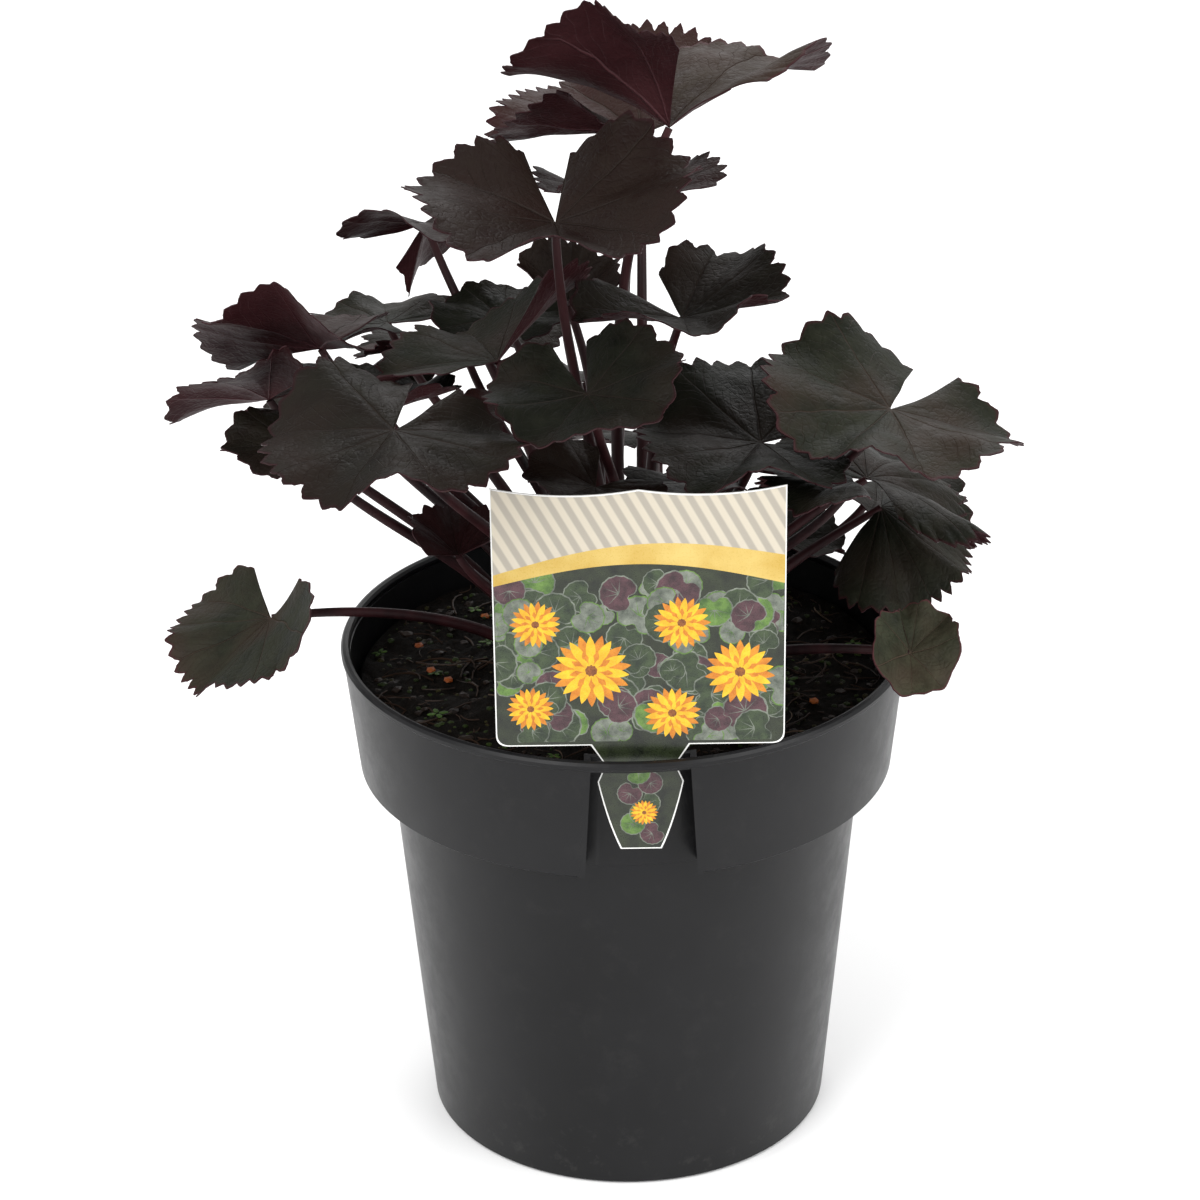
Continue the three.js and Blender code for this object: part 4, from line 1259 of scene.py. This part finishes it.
def placeSeedlings(draw):
    places = []
    for _ in range(litterShape["seedlings"]):
        spot = placeOnSoil(draw, -1.2, 0.8, 1.3)
        for leaflet in range(litterShape["leaflets"]):
            turn = Matrix.Rotation(leaflet * 2 * math.pi / litterShape["leaflets"], 4, "Z")
            aside = Matrix.Translation(Vector((1.7, 0, 0.4)) * mm)
            places.append((spot @ turn @ aside @ Matrix.Diagonal((1.5, 0.9, 0.35, 1)), 0))
    return places


def makeLitter():
    shape = litterShape
    draw = random.Random(5)
    moss = [makeStalkSkin("mossGreen", colour(0.007, 0.012, 0.003), colour(0.026, 0.042, 0.008)),
            makeStalkSkin("mossOlive", colour(0.012, 0.012, 0.004), colour(0.038, 0.034, 0.011))]
    fibre = [makeStalkSkin("fibreBrown", colour(0.013, 0.007, 0.0045), colour(0.040, 0.022, 0.013)),
             makeStalkSkin("rootPale", colour(0.075, 0.050, 0.033), colour(0.16, 0.115, 0.08))]
    grit = [makeStalkSkin("barkBrown", colour(0.005, 0.003, 0.0022), colour(0.020, 0.011, 0.007)),
            makeStalkSkin("prillOrange", colour(0.20, 0.045, 0.008), colour(0.32, 0.09, 0.016))]
    weed = [makeStalkSkin("weedGreen", colour(0.018, 0.042, 0.006), colour(0.060, 0.120, 0.018))]
    ball = templateBall(1.0, 0.6)
    chip = templateBall(1.6, 0.45)
    strand = templateStrand(14, 0.28, 2.0)
    shortStrand = templateStrand(7, 0.22, -1.4)
    mossPlaces, fibrePlaces, threadPlaces, gritPlaces = [], [], [], []
    for _ in range(shape["moss"]):
        mossPlaces.append((placeOnSoil(draw, 0.1, 0.5, 1.5), draw.choice((0, 0, 1))))
    for _ in range(shape["fibres"]):
        fibrePlaces.append((placeOnSoil(draw, -0.2, 0.5, 1.3), int(draw.random() < shape["paleRoots"])))
    for _ in range(shape["fibres"]):
        threadPlaces.append((placeOnSoil(draw, -0.3, 0.6, 1.4, shape["wildLean"]), 0))
    for _ in range(shape["grit"]):
        gritPlaces.append((placeOnSoil(draw, 0.2, 0.5, 1.5), 0))
    pieces = [copyScattered("mossTufts", ball, mossPlaces, moss),
              copyScattered("weedSeedlings", ball, placeSeedlings(draw), weed),
              copyScattered("compostFibres", strand, fibrePlaces, fibre),
              copyScattered("compostThreads", shortStrand, threadPlaces, fibre),
              copyScattered("barkChips", chip, gritPlaces + placePrills(), grit)]
    for piece in pieces:
        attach(piece, "root")


makeLitter()
print("litter made")


# floor, light and camera

# the eye in mm, angles in radians; a light's place, aim and power, in m and watts
viewShape = {
    "lens": 105.47, "eye": (-8.0, -1062.8, 683.0), "pitch": 0.4374, "roll": -0.0138,
    "floorSize": 14, "floorDrop": 0.2, "sky": 0.85, "lightSize": 1.2,
    "lights": {
        "keyLight": ((-0.9, -1.1, 1.5), (0, 0, 0.2), 26.0),
        "fillLight": ((1.2, -0.9, 0.9), (0, 0, 0.2), 16.0),
        "backLight": ((0.3, 1.3, 1.3), (0, 0, 0.25), 12.0),
    },
}


def makeStage():
    drop = viewShape["floorDrop"] * mm
    deselectAll()
    bpy.ops.mesh.primitive_plane_add(size=viewShape["floorSize"], location=(0, 0, -drop))
    floor = bpy.context.object
    floor.name = "floor"
    material, tree, shader = startMaterial("paleFloor")
    patch = noiseNode(tree, objectPoint(tree), 2.0)
    base = mixNode(tree, patch, colour(0.90, 0.90, 0.90), colour(0.93, 0.93, 0.93))
    feed(tree, shader.inputs["Base Color"], base)
    shader.inputs["Roughness"].default_value = 0.9
    floor.data.materials.append(material)
    world = bpy.data.worlds.new("studio")
    bpy.context.scene.world = world
    world.use_nodes = True
    background = world.node_tree.nodes["Background"]
    background.inputs["Color"].default_value = (1.0, 1.0, 1.0, 1.0)
    background.inputs["Strength"].default_value = viewShape["sky"]


def addSoftLight(name, place, aim, power):
    data = bpy.data.lights.new(name, "AREA")
    data.size, data.energy = viewShape["lightSize"], power
    light = bpy.data.objects.new(name, data)
    light.location = place
    light.rotation_euler = (Vector(aim) - Vector(place)).to_track_quat("-Z", "Y").to_euler()
    bpy.context.scene.collection.objects.link(light)


def makeCamera():
    pitch, roll = viewShape["pitch"], viewShape["roll"]
    forward = Vector((0, math.cos(pitch), -math.sin(pitch)))
    right = Vector((1, 0, 0))
    up = right.cross(forward)
    turnedRight = right * math.cos(roll) + up * math.sin(roll)
    turnedUp = up * math.cos(roll) - right * math.sin(roll)
    data = bpy.data.cameras.new("camera")
    data.lens = viewShape["lens"]
    data.sensor_width = 36
    data.clip_start, data.clip_end = 0.01, 50
    camera = bpy.data.objects.new("camera", data)
    turn = Matrix((turnedRight, turnedUp, -forward)).transposed()
    camera.matrix_world = Matrix.Translation(Vector(viewShape["eye"]) * mm) @ turn.to_4x4()
    bpy.context.scene.collection.objects.link(camera)
    bpy.context.scene.camera = camera


makeStage()
for lightName, (lightPlace, lightAim, lightPower) in viewShape["lights"].items():
    addSoftLight(lightName, lightPlace, lightAim, lightPower)
makeCamera()
bpy.context.scene.view_settings.view_transform = "Standard"
print("stage, lights and camera made")
